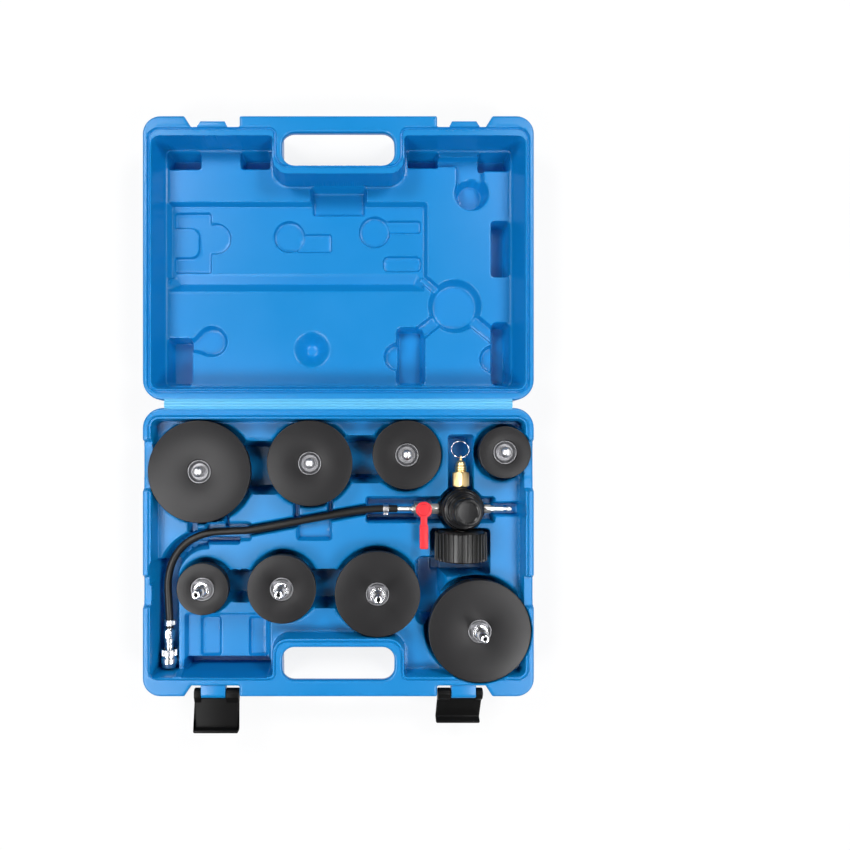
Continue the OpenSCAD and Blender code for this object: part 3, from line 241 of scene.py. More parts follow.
def smooth_min(a, b, k):
    """The lower of two heights, rounded where they cross."""
    h = np.clip(0.5 + 0.5 * (b - a) / k, 0, 1)
    return b + (a - b) * h - k * h * (1 - h)


def smooth_max(a, b, k):
    """The higher of two heights, rounded where they cross."""
    return -smooth_min(-a, -b, k)


def rounded(corners, cuts=7):
    """Closed line through corners (x, y, radius), with an arc of that radius at each."""
    points = []
    count = len(corners)
    for i, (x, y, r) in enumerate(corners):
        here = np.array([x, y], float)
        back = np.array(corners[i - 1][:2]) - here
        ahead = np.array(corners[(i + 1) % count][:2]) - here
        back, ahead = back / np.linalg.norm(back), ahead / np.linalg.norm(ahead)
        half = math.acos(max(-1, min(1, float(back @ ahead)))) / 2
        if r <= 0 or half > 1.56:
            points.append(here)
            continue
        middle = (back + ahead) / np.linalg.norm(back + ahead)
        centre = here + middle * r / math.sin(half)
        start = here + back * r / math.tan(half) - centre
        end = here + ahead * r / math.tan(half) - centre
        turn = math.atan2(start[0] * end[1] - start[1] * end[0], float(start @ end))
        for k in range(cuts + 1):
            a = turn * k / cuts
            points.append(centre + [start[0] * math.cos(a) - start[1] * math.sin(a),
                                    start[0] * math.sin(a) + start[1] * math.cos(a)])
    return np.array(points)


def box_line(x0, x1, y0, y1, r, cuts=7):
    """Closed line round a rectangle with rounded corners."""
    return rounded([(x0, y0, r), (x1, y0, r), (x1, y1, r), (x0, y1, r)], cuts)


def circle_line(x, y, r):
    """Closed line round a circle."""
    a = np.linspace(0, 2 * math.pi, 73)[:-1]
    return np.stack([x + r * np.cos(a), y + r * np.sin(a)], 1)


def lane_line(a, b, width, r=1.5):
    """Closed line round a straight lane between two points."""
    a, b = np.array(a, float), np.array(b, float)
    along = (b - a) / np.linalg.norm(b - a)
    side = np.array([-along[1], along[0]]) * width / 2
    return rounded([(*(a - side), r), (*(b - side), r), (*(b + side), r), (*(a + side), r)])


def distance(points, line):
    """Distance of each point from a closed line, negative inside it."""
    near = np.full(len(points), 1e9)
    inside = np.zeros(len(points), bool)
    px, py = points[:, 0], points[:, 1]
    for (ax, ay), (bx, by) in zip(line, np.roll(line, -1, 0)):
        ex, ey = bx - ax, by - ay
        t = np.clip(((px - ax) * ex + (py - ay) * ey) / max(ex * ex + ey * ey, 1e-12), 0, 1)
        near = np.minimum(near, (px - ax - t * ex) ** 2 + (py - ay - t * ey) ** 2)
        cross = (ay > py) != (by > py)
        if ay != by:
            inside ^= cross & (px < ax + (py - ay) / (by - ay) * ex)
    return np.where(inside, -1, 1) * np.sqrt(near)


def stepped(line, gap):
    """The same closed line with a point at least every gap."""
    points = []
    for a, b in zip(line, np.roll(line, -1, 0)):
        cuts = max(1, math.ceil(np.linalg.norm(b - a) / gap))
        points += [a + (b - a) * k / cuts for k in range(cuts)]
    return np.array(points)


def beside(line, out):
    """A closed line's points moved outwards by a distance, or inwards if it is negative."""
    along = np.roll(line, -1, 0) - np.roll(line, 1, 0)
    along = along / np.linalg.norm(along, axis=1)[:, None]
    x, y = line[:, 0], line[:, 1]
    turn = np.sign(np.sum(x * np.roll(y, -1) - y * np.roll(x, -1)))
    return line + turn * out * np.stack([along[:, 1], -along[:, 0]], 1)


clear_slope = 30.0


def sink(height, points, pocket):
    """Heights after a pocket is pressed in, with sloped walls and rounded edges."""
    out = distance(points, pocket["lines"][0])
    for line in pocket["lines"][1:]:
        out = smooth_min(out, distance(points, line), pocket["join"])
    floor, top = pocket["floor"], pocket["top"]
    steep = (top - floor) / pocket["draft"]
    soft = min(steep * pocket["edge"], 0.6 * (top - floor))
    inside = smooth_max(np.full(len(points), float(floor)), top + steep * out, soft)
    past_edge = np.maximum(out - pocket["edge"], 0)
    wall = np.where(out > 0, inside + clear_slope * past_edge, inside)
    return smooth_min(height, wall, soft)


edge_gap, point_gap = 0.25, 0.42


def skin_points(loops, lines, spacing, density):
    """Points for a skin: its edges, a few lines beside each pocket's edge, and a loose grid."""
    edge = np.concatenate(loops)
    rings = [beside(stepped(line, spacing), out) for line, outs in lines for out in outs]
    low, high = edge.min(0), edge.max(0)
    x, y = np.meshgrid(np.arange(low[0], high[0], density), np.arange(low[1], high[1], density))
    grid = np.stack([x.ravel(), y.ravel()], 1)
    loose = np.concatenate([*rings, grid])
    inside = distance(loose, loops[0]) < -edge_gap
    for hole in loops[1:]:
        inside &= distance(loose, hole) > edge_gap
    loose = loose[inside]
    cell = np.round(loose / point_gap).astype(int)
    keep = np.unique(cell, axis=0, return_index=True)[1]
    return edge, loose[np.sort(keep)]


def skin_faces(loops, points):
    """Triangles between the points, with the loops' own edges kept, and none outside them."""
    edges = []
    start = 0
    for loop in loops:
        n = len(loop)
        edges += [(start + k, start + (k + 1) % n) for k in range(n)]
        start += n
    made = delaunay_2d_cdt([Vector(p) for p in points], edges, [], 0, 1e-7, True)
    flat = np.array([(v.x, v.y) for v in made[0]])
    faces = np.array([f for f in made[2] if len(f) == 3])
    middle = flat[faces].mean(1)
    inside = distance(middle, loops[0]) < 0
    for hole in loops[1:]:
        inside &= distance(middle, hole) > 0
    return flat, faces[inside]


wall_rows = 5


def shell_mesh(loops, top_lines, under_lines, top_height, bottom_height):
    """One closed half of the case, in millimetres: inner skin, outer walls and outer skin."""
    mesh = bmesh.new()
    for height, outer, drawn, spacing, density in ((top_height, False, top_lines, 1.7, 2.6),
                                                   (bottom_height, True, under_lines, 3.0, 9)):
        edge, loose = skin_points(loops, drawn, spacing, density)
        flat, faces = skin_faces(loops, np.concatenate([edge, loose]))
        z = height(flat)
        made = [mesh.verts.new((x, y, h)) for (x, y), h in zip(flat / 1000, z / 1000)]
        for a, b, c in faces:
            p, q, r = flat[a], flat[b], flat[c]
            upward = (q[0] - p[0]) * (r[1] - p[1]) - (q[1] - p[1]) * (r[0] - p[0]) > 0
            mesh.faces.new([made[i] for i in ((a, b, c) if upward != outer else (a, c, b))])
    for loop in loops:
        top, bottom = top_height(loop), bottom_height(loop)
        rows = [[mesh.verts.new((x / 1000, y / 1000, (t + (b - t) * k / wall_rows) / 1000))
                 for (x, y), t, b in zip(loop, top, bottom)] for k in range(wall_rows + 1)]
        for upper, lower in zip(rows, rows[1:]):
            for k in range(len(loop)):
                n = (k + 1) % len(loop)
                mesh.faces.new((upper[k], lower[k], lower[n], upper[n]))
    return mesh


def skirt(mesh, rows):
    """Joins each closed row of points to the next with faces."""
    count = len(rows[0])
    for one, two in zip(rows, rows[1:]):
        for k in range(count):
            n = (k + 1) % count
            mesh.faces.new((one[k], one[n], two[n], two[k]))


def bar(mesh, profile, start, end, soft, turn=Matrix()):
    """Closed bar of one profile between two places along it, with its ends rounded over."""
    steps = [0.0] if soft <= 0 else [math.pi / 2 * k / 3 for k in range(4)]
    near = [(start + soft * (1 - math.cos(a)), soft * (1 - math.sin(a))) for a in steps]
    far = [(start + end - along, inset) for along, inset in reversed(near)]
    rows = []
    for along, inset in near + far:
        line = beside(profile, -inset) if inset > 0 else profile
        rows.append([mesh.verts.new(turn @ Vector((along, u, v)) * 0.001) for u, v in line])
    ends = [mesh.faces.new(rows[0]), mesh.faces.new(rows[-1])]
    skirt(mesh, rows)
    bmesh.ops.triangulate(mesh, faces=ends)


merge_gap = 0.00001


def piece_of(name, mesh, finish, merge, sharp):
    """Object made from a mesh, with its finish, its doubled points merged and its edges sharp."""
    bmesh.ops.remove_doubles(mesh, verts=mesh.verts, dist=merge)
    bmesh.ops.recalc_face_normals(mesh, faces=mesh.faces)
    data = bpy.data.meshes.new(name)
    mesh.to_mesh(data)
    mesh.free()
    data.shade_smooth()
    data.set_sharp_from_angle(angle=math.radians(sharp))
    data.materials.append(finish)
    piece = bpy.data.objects.new(name, data)
    bpy.context.scene.collection.objects.link(piece)
    return piece


def finished(name, mesh, finish, body, nodes, merge=merge_gap):
    """Piece made from a mesh, on the body it rides on, in place of the solids it stands for."""
    piece = piece_of(name, mesh, finish, merge, 38)
    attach(piece, body)
    if nodes:
        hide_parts(*nodes)


rim = 48.0
outer_edge = 2.2
under_edge = 6.0
tray_depth = 16.0
tongue_place = 2.6
tongue_width = 1.6
tongue_rise = 1.2


def corner_of(node):
    """Lowest and highest corner of a piece, in millimetres."""
    low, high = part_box(node)
    return np.array(low) * 1000, np.array(high) * 1000


def middle_of(node):
    """Middle of a piece, in millimetres."""
    low, high = corner_of(node)
    return (low + high) / 2


def edge_drop(points, loops, radius):
    """How far a skin falls where it rounds over at its edges and at the hand hole."""
    out = distance(points, loops[0])
    for hole in loops[1:]:
        out = np.maximum(out, -distance(points, hole))
    into = np.clip(radius + out, 0, radius)
    return radius - np.sqrt(np.maximum(radius ** 2 - into ** 2, 0))


def bottom_lines(loops, room, panel):
    """Lines that the outer skin's points follow: its edges, the handle's room and the panel."""
    return [(loops[0], (-0.4, -1.2, -2.4, -4.0, -6.0)), (loops[1], (0.3, 0.8, 1.5, 2.4, 3.6, 5.2, 7.0)),
            (room, (0.5, 0.0, -0.75, -1.5, -2.25, -3.0, -3.6)), (panel, (0.4, -1.0, -2.0, -3.0, -4.4))]


shell_low, shell_high = corner_of("base_shell")
lug_stands_out = 3.0
front, back = shell_low[1] + lug_stands_out, shell_high[1]
side = shell_high[0]
corner_hinge, corner_front = 18, 16
latch_middle = 109.6
notch_depth = 9.6
notch_near, notch_far, notch_foot = 88.4, 131.8, 137.8
grip_half, grip_low, grip_high, grip_corner = 50.2, 15.0, 44.0, 10.7
handle_thick, room_wall, grip_round = 12.0, 3.0, 7.0
rim_side, rim_front, rim_hinge = 8.0, 18.2, 10.0
block_side, block_top, block_corner = 59.0, 52.2, 14
inner_corner = 7.0


def half_outline(edge, hinge, sign):
    """Outer line of one half of the case, whose latch edge lies towards sign."""
    floor = edge - sign * notch_depth
    walk = [(-side, hinge, corner_hinge), (-side, edge, corner_front), (-notch_foot, edge, 2),
            (-notch_far, floor, 1.5), (-notch_near, floor, 1.5), (-notch_near, edge, 1.5),
            (-grip_half - room_wall, edge, 0), (-grip_half, edge, 0), (grip_half, edge, 0),
            (grip_half + room_wall, edge, 0), (notch_near, edge, 1.5), (notch_near, floor, 1.5),
            (notch_far, floor, 1.5), (notch_foot, edge, 2), (side, edge, corner_front),
            (side, hinge, corner_hinge)]
    return stepped(rounded(walk, 9), 3.0)


def inner_outline(edge, hinge, sign):
    """Line of the rim's inner edge, which bends round the hand hole."""
    x = side - rim_side
    near, far = hinge + sign * rim_hinge, edge - sign * rim_front
    inner = edge - sign * block_top
    walk = [(-x, near, inner_corner), (-x, far, inner_corner), (-block_side, far, 3),
            (-block_side, inner, block_corner), (block_side, inner, block_corner),
            (block_side, far, 3), (x, far, inner_corner), (x, near, inner_corner)]
    return rounded(walk)


def hand_hole(y0, y1):
    """Line round the hand hole of one half."""
    return stepped(box_line(-grip_half, grip_half, y0, y1, grip_corner), 3)


base_loops = [half_outline(front, back, -1), hand_hole(front + grip_low, front + grip_high)]
tray_line = inner_outline(front, back, -1)
plugs = [f"{kind}_plug_{size}" for kind in ("blank", "inlet") for size in (90, 75, 60, 45)]
flange_over, well_clearance = 0.8, 0.3


def well_height(points, plug, into):
    """Well of one plug: snug where it cuts the rim's walls, and loose in the tray's upper face."""
    low, high = corner_of(plug)
    x, y = (low[:2] + high[:2]) / 2
    step = (high[0] - low[0]) / 2 - flange_over
    out = np.hypot(points[:, 0] - x, points[:, 1] - y) - step
    floor = low[2] - well_clearance
    snug = np.interp(out, [-3.2, -2.4, -1.6, 0.3, 1.0, 1.5, 2.0, 6.0],
                     [floor, floor + 0.5, 16.5, 33.0, 43.0, 44.5, rim + 0.6, rim + 30])
    loose = np.interp(out, [-3.2, -2.2, 2.4, 3.4, 4.8, 12],
                      [floor, floor + 0.8, 28.8, 31.2, 32.7, 60])
    return np.minimum(snug, loose + 9 * np.maximum(into + 4.0, 0))


def pressed(lines, floor, draft=2.0, edge=0.9, top=rim - tray_depth, join=1.5):
    """One pocket of a shell: its line or lines, floor, the slope of its walls and its edges' size."""
    lines = lines if isinstance(lines, list) else [lines]
    return {"lines": lines, "floor": floor, "draft": draft, "edge": edge, "top": top, "join": join}


def scoop_height(points, left, right, half, run):
    """Finger channel between two plugs: level in its middle, and rising at both its ends."""
    a, b = middle_of(left), middle_of(right)
    x, y = points[:, 0], points[:, 1]
    off = np.abs(y - (a[1] + b[1]) / 2) - half
    rise = np.clip(off / run, 0, 1)
    beyond = np.maximum(a[0] - x, x - b[0])
    return (scoop_floor + (rim - tray_depth + 0.8 - scoop_floor) * rise * rise * (3 - 2 * rise)
            + clear_slope * np.maximum(off - run, 0) + np.where(beyond > 0, 40, 0))


scoop_floor = 4.0
scoops = [("blank_plug_90", "blank_plug_75", 19, 6), ("blank_plug_75", "blank_plug_60", 16, 6),
          ("inlet_plug_45", "inlet_plug_60", 10, 5), ("inlet_plug_60", "inlet_plug_75", 13, 5)]
regulator = middle_of("regulator_bonnet")
reg_x, reg_y = regulator[:2]
bonnet_low, bonnet_high = corner_of("regulator_bonnet")
bonnet = (bonnet_high - bonnet_low)[0] / 2
boot_low, boot_high = corner_of("gauge_boot")
pipe = 30.0
lane_floor = pipe - 3.8
hose_bend, bend_floor = (-119.0, -27.5), 17.0
base_pockets = [
    pressed(circle_line(reg_x, reg_y, bonnet + 2.2), 14.8, 1.6),
    pressed(box_line(25, 143, 25, 48.5, 2.5), 20.8, 1.6),
    pressed(box_line(110, 166.4, 31, 44, 2.5), 24.8, 1.4),
    pressed(box_line(reg_x - 11.2, reg_x + 11.2, 40, 105, 2.5), 7.0, 1.4),
    pressed(box_line(boot_low[0] - 4, boot_high[0] + 2.2, boot_low[1] - 13.5, boot_high[1] + 1.5, 3.5),
            5.8, 2.2),
    pressed(lane_line((-84, 17), (27, 37.4), 11.4), lane_floor, 1.4),
    pressed(box_line(-122, -80, 8.2, 25.4, 2.5), lane_floor, 1.4),
    pressed(box_line(-38.4, -6.6, 9.0, 32.0, 2.5), lane_floor - 2, 1.4),
    pressed(box_line(-139, -90.6, 5.4, 11.6, 2), 17.0, 1.2),
    pressed(box_line(-138.2, -129.8, 14, 29, 2), lane_floor - 4, 1.2),
    pressed(box_line(-105.1, -100.5, 20, 36, 1.5), lane_floor - 4, 1.0),
    pressed(box_line(-41.9, -36, 28, 43, 1.5), lane_floor - 4, 1.0),
    pressed(box_line(-10.8, -5.3, 30, 46, 1.5), lane_floor - 4, 1.0),
    pressed(box_line(26, 72.5, 26, 32.2, 1.5), 9.0, 1.0, top=20.8),
    pressed(box_line(-166.7, -146.9, -110.6, -8.5, 2.5), 11.0, 1.5),
    pressed(box_line(-140.9, -62.8, -103.9, -58.6, 3), 26.0, 1.4),
    pressed(box_line(-140.9, -62.8, -110.5, -99.6, 2.5), 8.0, 1.2, top=26.0),
    pressed(box_line(-127.7, -108.8, -99.2, -61.8, 3.5), 21.8, 1.4, top=26.0),
    pressed(box_line(-83.2, -65.8, -99.2, -62.8, 3.5), 21.8, 1.4, top=26.0),
    pressed(box_line(70, 98, -68, -6, 8), 6.0, 4.0),
]


bend_radius, bend_half, bend_slope, bend_soft = 38.0, 9.7, 4.2, 3.6


def hose_bend_height(points):
    """Round stretch of the hose's lane, in the corner beside the smallest inlet plug."""
    x, y = points[:, 0] - hose_bend[0], points[:, 1] - hose_bend[1]
    off = np.abs(np.hypot(x, y) - bend_radius) - bend_half
    off = np.maximum(off, np.maximum(x, -y))
    wall = rim - tray_depth + bend_slope * off
    return smooth_max(np.full(len(points), bend_floor), wall, bend_soft)


def base_top(points):
    """Height of the base's inner skin and rim."""
    into = distance(points, tray_line)
    ridge = np.clip(1 - np.abs(into - tongue_place) / (tongue_width * 0.62), 0, 1)
    height = rim + tongue_rise * ridge * ridge * (3 - 2 * ridge)
    tray = smooth_max(np.full(len(points), rim - tray_depth), rim + 12.0 * into, 6)
    height = smooth_min(height, tray, 6)
    for pocket in base_pockets:
        height = sink(height, points, pocket)
    height = smooth_min(height, hose_bend_height(points), bend_soft)
    for left, right, half, run in scoops:
        height = smooth_min(height, scoop_height(points, left, right, half, run), 1.6)
    for plug in plugs:
        height = smooth_min(height, well_height(points, plug, into), 1.0)
    return height - edge_drop(points, base_loops, outer_edge)


def grip_lift(points, hole):
    """How far the handle's underside is rounded up beside the hand hole, for a comfortable grip."""
    away = np.clip(distance(points, hole) / grip_round, 0, 1)
    return (handle_thick - outer_edge - 0.7) * (1 - np.sqrt(1 - (1 - away) ** 2))


def room_height(points, line):
    """How far the outer skin rises under the handle, so that a hand can close round the bar."""
    raised = np.clip(-distance(points, line) / room_wall, 0, 1)
    return (rim - handle_thick) * raised


def panel_height(points, line):
    """How far the outer skin rises in the wide panel that stiffens it."""
    raised = np.clip(-distance(points, line) / 4, 0, 1)
    return 1.6 * raised * raised * (3 - 2 * raised)


base_room = box_line(-grip_half - room_wall, grip_half + room_wall, front - 30,
                     front + grip_high + room_wall, grip_corner)
base_panel = box_line(-150, 150, front + 53, back - 25, 14)


def base_bottom(points):
    """Height of the base's outer skin."""
    edges = np.maximum(edge_drop(points, base_loops[:1], under_edge), grip_lift(points, base_loops[1]))
    return room_height(points, base_room) + panel_height(points, base_panel) + edges


def pocket_lines(pockets):
    """Lines beside each pocket's edge that the skin's points follow."""
    return [(line, (1.6, 0.9, 0.3, -0.3, -p["draft"] * 0.5, -p["draft"], -p["draft"] - 0.8))
            for p in pockets for line in p["lines"]]


well_outs = (-3.4, -2.6, -1.7, -0.6, 0.3, 1.0, 1.5, 2.0, 2.6, 3.2, 3.9, 4.8)
well_lines = []
for plug in plugs:
    low, high = corner_of(plug)
    x, y = (low[:2] + high[:2]) / 2
    reach = (high[0] - low[0]) / 2 - flange_over
    well_lines.append((circle_line(x, y, reach), well_outs))
rim_lines = [(tray_line, (-2.4, -1.6, -1.0, -0.4, 0.0, 0.5, 1.1, 1.7, 2.2, 2.6, 3.0, 3.5, 4.2))]
edge_outs = (0.3, 0.8, 1.4, 2.2, 3.2)
inside_outs = tuple(-out for out in edge_outs)
edge_lines = [(base_loops[0], inside_outs), (base_loops[1], edge_outs)]
bend_lines = [(circle_line(*hose_bend, r), (0,))
              for r in (27.8, 28.6, 29.4, 30.2, 46, 46.8, 47.6, 48.4)]
base_mesh = shell_mesh(
    base_loops, rim_lines + edge_lines + pocket_lines(base_pockets) + bend_lines + well_lines,
    bottom_lines(base_loops, base_room, base_panel), base_top, base_bottom)
latch_pivot = (middle_of("latch_left")[0], front + 1.6, 41.0)
lug_half, lug_radius, lug_offset, lug_soft = 11.0, 4.6, 2.8, 4.4
lug_middle = latch_middle + lug_offset
lug_tip, lug_root = front - lug_stands_out, front + notch_depth + 0.6
lug_low, lug_high = latch_pivot[2] - lug_radius, latch_pivot[2] + lug_radius
lug = rounded([(lug_tip, lug_low, lug_soft), (lug_tip, lug_high, lug_soft),
               (lug_root, lug_high, 0), (lug_root, lug_low, 0)])
for hand in (-1, 1):
    bar(base_mesh, lug, hand * lug_middle - lug_half, hand * lug_middle + lug_half, 0.6)
shell_merge = 0.00002
case_blue = moulded("case_blue", (0.002, 0.210, 0.54), 0.32, 0.10, 0.0009, mottle=0.04, gloss=0.34)
finished("base_case", base_mesh, case_blue, "base", ["base_shell"], shell_merge)

# Case, lid half
# Moulded as one with the base. Its floor has shallow places for other fittings, and its rim has
# the groove that takes the base's tongue.
lid_low, lid_high = corner_of("lid_shell")
lid_near, lid_far = lid_low[1], lid_high[1]
lid_depth = 26.0
lid_floor = rim - lid_depth
lid_loops = [half_outline(lid_far, lid_near, 1), hand_hole(lid_far - grip_high, lid_far - grip_low)]
fold = 132.5
lid_line = inner_outline(lid_far, lid_near, 1)
groove_line = tray_line * [1, -1] + [0, 2 * fold]
lid_foot = rounded([
    (-161.2, lid_near + 13.8, 6), (160.5, lid_near + 13.8, 6), (160.5, lid_far - 18.9, 5),
    (60.2, lid_far - 18.9, 4), (60.2, lid_far - 52.9, 14), (-60.2, lid_far - 52.9, 14),
    (-60.2, lid_far - 18.9, 4), (-161.2, lid_far - 18.9, 5)])
round_seat, lid_recess = (108, 225.5), 6


def lid_pocket(lines, drop, draft=1.2, edge=0.6, above=0.0, join=1.5):
    """One pocket in the lid's floor, dropping from the floor or from a recess in it."""
    return pressed(lines, lid_floor - above - drop, draft, edge, lid_floor - above, join)


lid_pockets = [
    lid_pocket(box_line(-159.2, -128.4, 352.6, 368.9, 2.5), 17, 1.6),
    lid_pocket(box_line(-91.3, -64.2, 352.8, 368.9, 2.5), 17, 1.6),
    lid_pocket(box_line(64, 92.8, 353.8, 368.9, 2.5), 17, 1.6),
    lid_pocket(box_line(129.8, 158.8, 351, 368.4, 2.5), 17, 1.6),
    lid_pocket([box_line(90, 132, 355, 363.6, 1.5), box_line(109, 135, 332, 360, 2)], 6, 1.4),
    lid_pocket(circle_line(123.5, 330.6, 16), 15, 4.5, 0.9),
    lid_pocket(box_line(141.5, 158.8, 252.4, 304.6, 3.5), 17, 1.8),
    lid_pocket(box_line(-26.5, 26, 309.4, 336.6, 4), 10, 3.0),
    lid_pocket(box_line(-159.6, 82.5, 250, 322.5, 3), lid_recess, 3.0),
    lid_pocket([circle_line(-116, 290, 14.6), rounded([
        (-154.3, 314.3, 3), (-119.8, 314.3, 3), (-119.8, 257.2, 3), (-154.3, 257.2, 3),
        (-154.3, 272.3, 2), (-131.7, 272.3, 8), (-131.7, 299.2, 8), (-154.3, 299.2, 2)])],
               3.0, 1.0, 0.5, lid_recess),
    lid_pocket(box_line(-40, -6.7, 276.7, 294.3, 3), 2.6, 1.0, 0.5, lid_recess),
    lid_pocket(circle_line(-46.7, 291.7, 14.7), 3.8, 1.0, 0.5, lid_recess),
    lid_pocket(box_line(38, 76.8, 294.7, 306.8, 3), 2.6, 1.0, 0.5, lid_recess),
    lid_pocket(circle_line(33.3, 296, 14.7), 3.8, 1.0, 0.5, lid_recess),
    lid_pocket(box_line(41.2, 77.3, 258.7, 273.3, 5), 2.6, 1.0, 0.5, lid_recess),
    lid_pocket(box_line(-159.6, -136.2, 151.4, 195.6, 4), 17, 2.2),
    lid_pocket([circle_line(-118.3, 192.6, 14.3), lane_line((-144, 187), (-117, 192.6), 12, 3)],
               7, 2.4, 0.8, join=9),
    lid_pocket(circle_line(-25.2, 185, 16.2), 12, 11, 1.6),
    lid_pocket(circle_line(*round_seat, 24.8), 8.5, 4.4, 0.9),
    lid_pocket(lane_line((60, 188), round_seat, 13.5), 6, 1.8),
    lid_pocket(lane_line((150, 192), round_seat, 13.5), 6, 1.8),
    lid_pocket(lane_line((77, 252), round_seat, 9), 5, 1.5),
    lid_pocket(box_line(53.5, 80, 151.4, 205.5, 5), 14, 2.6, 0.8),
    lid_pocket(box_line(142, 159.0, 151.4, 210, 5), 17, 2.2, 0.8),
    lid_pocket(circle_line(55, 178, 13.3), 7, 2.0),
    lid_pocket(circle_line(144, 176, 13.3), 7, 2.0),
]


def trough_height(points):
    """Sloping trough along the wide recess: steep towards the recess, and shallow on its other side."""
    x, y = points[:, 0], points[:, 1]
    across = np.interp(y, [230, 236.5, 239.6, 247.6, 256.8, 262], [60, 2.5, -0.6, -9.5, -5.7, 30])
    past = np.maximum(-149 - x, x - 70.5)
    ends = np.maximum(0.9 * past - 9.5, 6 * past - 50)
    return lid_floor + np.maximum(across, ends)


def lid_top(points):
    """Height of the lid's inner skin and rim."""
    into = distance(points, lid_line)
    foot = distance(points, lid_foot)
    groove = np.clip(1 - np.abs(distance(points, groove_line) - tongue_place) / 1.35, 0, 1)
    height = rim - 1.9 * np.clip(groove * 1.8, 0, 1)
    wall = rim - lid_depth * (-into) / np.maximum(foot - into, 0.4)
    height = smooth_min(height, smooth_max(np.full(len(points), lid_floor), wall, 5), 2)
    bead = np.clip(1 - np.abs(foot + 0.9) / 0.9, 0, 1)
    height += 0.5 * bead * bead * (3 - 2 * bead) * (height < lid_floor + 4)
    for pocket in lid_pockets:
        height = sink(height, points, pocket)
    height = smooth_min(height, trough_height(points), 0.9)
    return height - edge_drop(points, lid_loops, outer_edge)


lid_room = box_line(-grip_half - room_wall, grip_half + room_wall, lid_far - grip_high - room_wall,
                    lid_far + 30, grip_corner)
lid_panel = box_line(-148, 148, lid_near + 22, lid_far - 58, 14)


def lid_bottom(points):
    """Height of the lid's outer skin."""
    edges = np.maximum(edge_drop(points, lid_loops[:1], under_edge), grip_lift(points, lid_loops[1]))
    return room_height(points, lid_room) + panel_height(points, lid_panel) + edges


lid_lines = [
    (lid_line, (-2.0, -1.3, -0.8, -0.3, 0.2, 0.7, 1.2)),
    (lid_foot, (2.4, 1.2, 0.5, 0.0, -0.45, -0.9, -1.35, -1.8)),
    (groove_line, (1.1, 1.5, 1.9, 2.6, 3.3, 3.7, 4.1, 4.8)),
    *[(box_line(-158, 80, y - 0.3, y + 0.3, 0.1), (0, 0.5)) for y in (239.6, 247.6, 256.8)],
    (lid_loops[0], inside_outs), (lid_loops[1], edge_outs)]
lid_mesh = shell_mesh(lid_loops, lid_lines + pocket_lines(lid_pockets),
                      bottom_lines(lid_loops, lid_room, lid_panel), lid_top, lid_bottom)
catch_low, catch_out = 24.2, 4.6
catch_foot, catch_tip = lid_far - notch_depth - 0.6, lid_far - notch_depth + catch_out
lying = Matrix(((0, 1, 0), (0, 0, 1), (1, 0, 0))).to_4x4()
for hand in (-1, 1):
    inner, outer = hand * (lug_middle - lug_half), hand * (lug_middle + lug_half)
    plan = rounded([(inner - hand * 2.2, catch_foot, 0), (inner, catch_tip, 1.2),
                    (outer, catch_tip, 1.2), (outer + hand * 2.8, catch_foot, 0)])
    bar(lid_mesh, plan, catch_low, rim - 0.2, 0.8, lying)
finished("lid_case", lid_mesh, case_blue, "lid", ["lid_shell"], shell_merge)

# Hinge web
# Thin strip of the same moulding that joins both rims along the hinge. On the real case it bends when
# the lid moves; here it is one fixed piece. Moulded grooves beside it and along its middle keep the
# fold in line.
web_half = corner_of("hinge_web_base")[1][0]
fold_line = rim - 0.02
web_profile = [(126.6, 47.3), (128.0, 47.75), (128.8, 47.0), (129.5, 46.75), (130.1, 47.5),
               (130.6, fold_line), (131.6, fold_line), (132.1, 47.8), (132.5, 47.35), (132.9, 47.8),
               (133.4, fold_line), (134.4, fold_line), (134.9, 47.5), (135.5, 46.75), (136.2, 47.0),
               (137.0, 47.75), (138.4, 47.3)]
web_under = [(y, min(z - 0.9, 46.2)) for y, z in reversed(web_profile)]
web_mesh = bmesh.new()
bar(web_mesh, np.array(web_profile + web_under), -web_half, web_half, 0.0)
# Lighter, whiter copy of the case's own blue: painted sheen on the web's ridges, which are the same
# plastic as the case.
web_blue_painted_sheen = moulded("web_blue_painted_sheen", (0.10, 0.44, 0.72), 0.36, 0.06, 0.0009, mottle=0.03,
                        gloss=0.45)
web = piece_of("hinge_web", web_mesh, web_blue_painted_sheen, merge_gap, 50)
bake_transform(web)
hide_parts("hinge_web_base", "hinge_web_lid")

# Latches
# Two snap latches of glossy black polypropylene. Each clips to its lug with two short pins, and
# the lip along its free edge hooks over the lid's catch. The right one hangs lower.
latch_gloss = moulded("latch_gloss", (0.006, 0.006, 0.006), 0.36, 0.05, 0.0012, gloss=0.06)
latch_half, pin, pin_reach = 20.2, 2.0, 4.6
plate_profile = rounded([(-5.0, -1.5, 0.7), (-34.2, -1.5, 1.8), (-34.2, 7.2, 1.0), (-31.4, 7.2, 0.9),
                         (-30.8, 1.5, 1.3), (-5.0, 1.5, 0.7)])
arm_profile = rounded([(4.25, -4.25, 4.2), (-3.4, -4.25, 3.4), (-9, -1.5, 1.5), (-9, 1.5, 1.5),
                       (-3.4, 4.25, 3.4), (4.25, 4.25, 4.2)])


def latch(name, hand, hangs):
    """One latch, turned about its pins by the angle at which it hangs."""
    mesh = bmesh.new()
    turn = (Matrix.Translation((hand * latch_middle, latch_pivot[1], latch_pivot[2]))
            @ Matrix.Rotation(math.radians(hangs), 4, "X"))
    left, right = hand * lug_offset - lug_half - 0.3, hand * lug_offset + lug_half + 0.3
    bar(mesh, plate_profile, -latch_half, latch_half, 1.4, turn)
    for start, end in ((-latch_half, left), (right, latch_half)):
        bar(mesh, arm_profile, start, end, 0.8, turn)
    for start, end in ((left - 1, left + pin_reach), (right - pin_reach, right + 1)):
        bar(mesh, circle_line(0, 0, pin)[::3], start, end, 0.4, turn)
    finished(name + "_moulded", mesh, latch_gloss, name, [name])


for name, hand, hangs in (("latch_left", -1, 0), ("latch_right", 1, 32)):
    latch(name, hand, hangs)

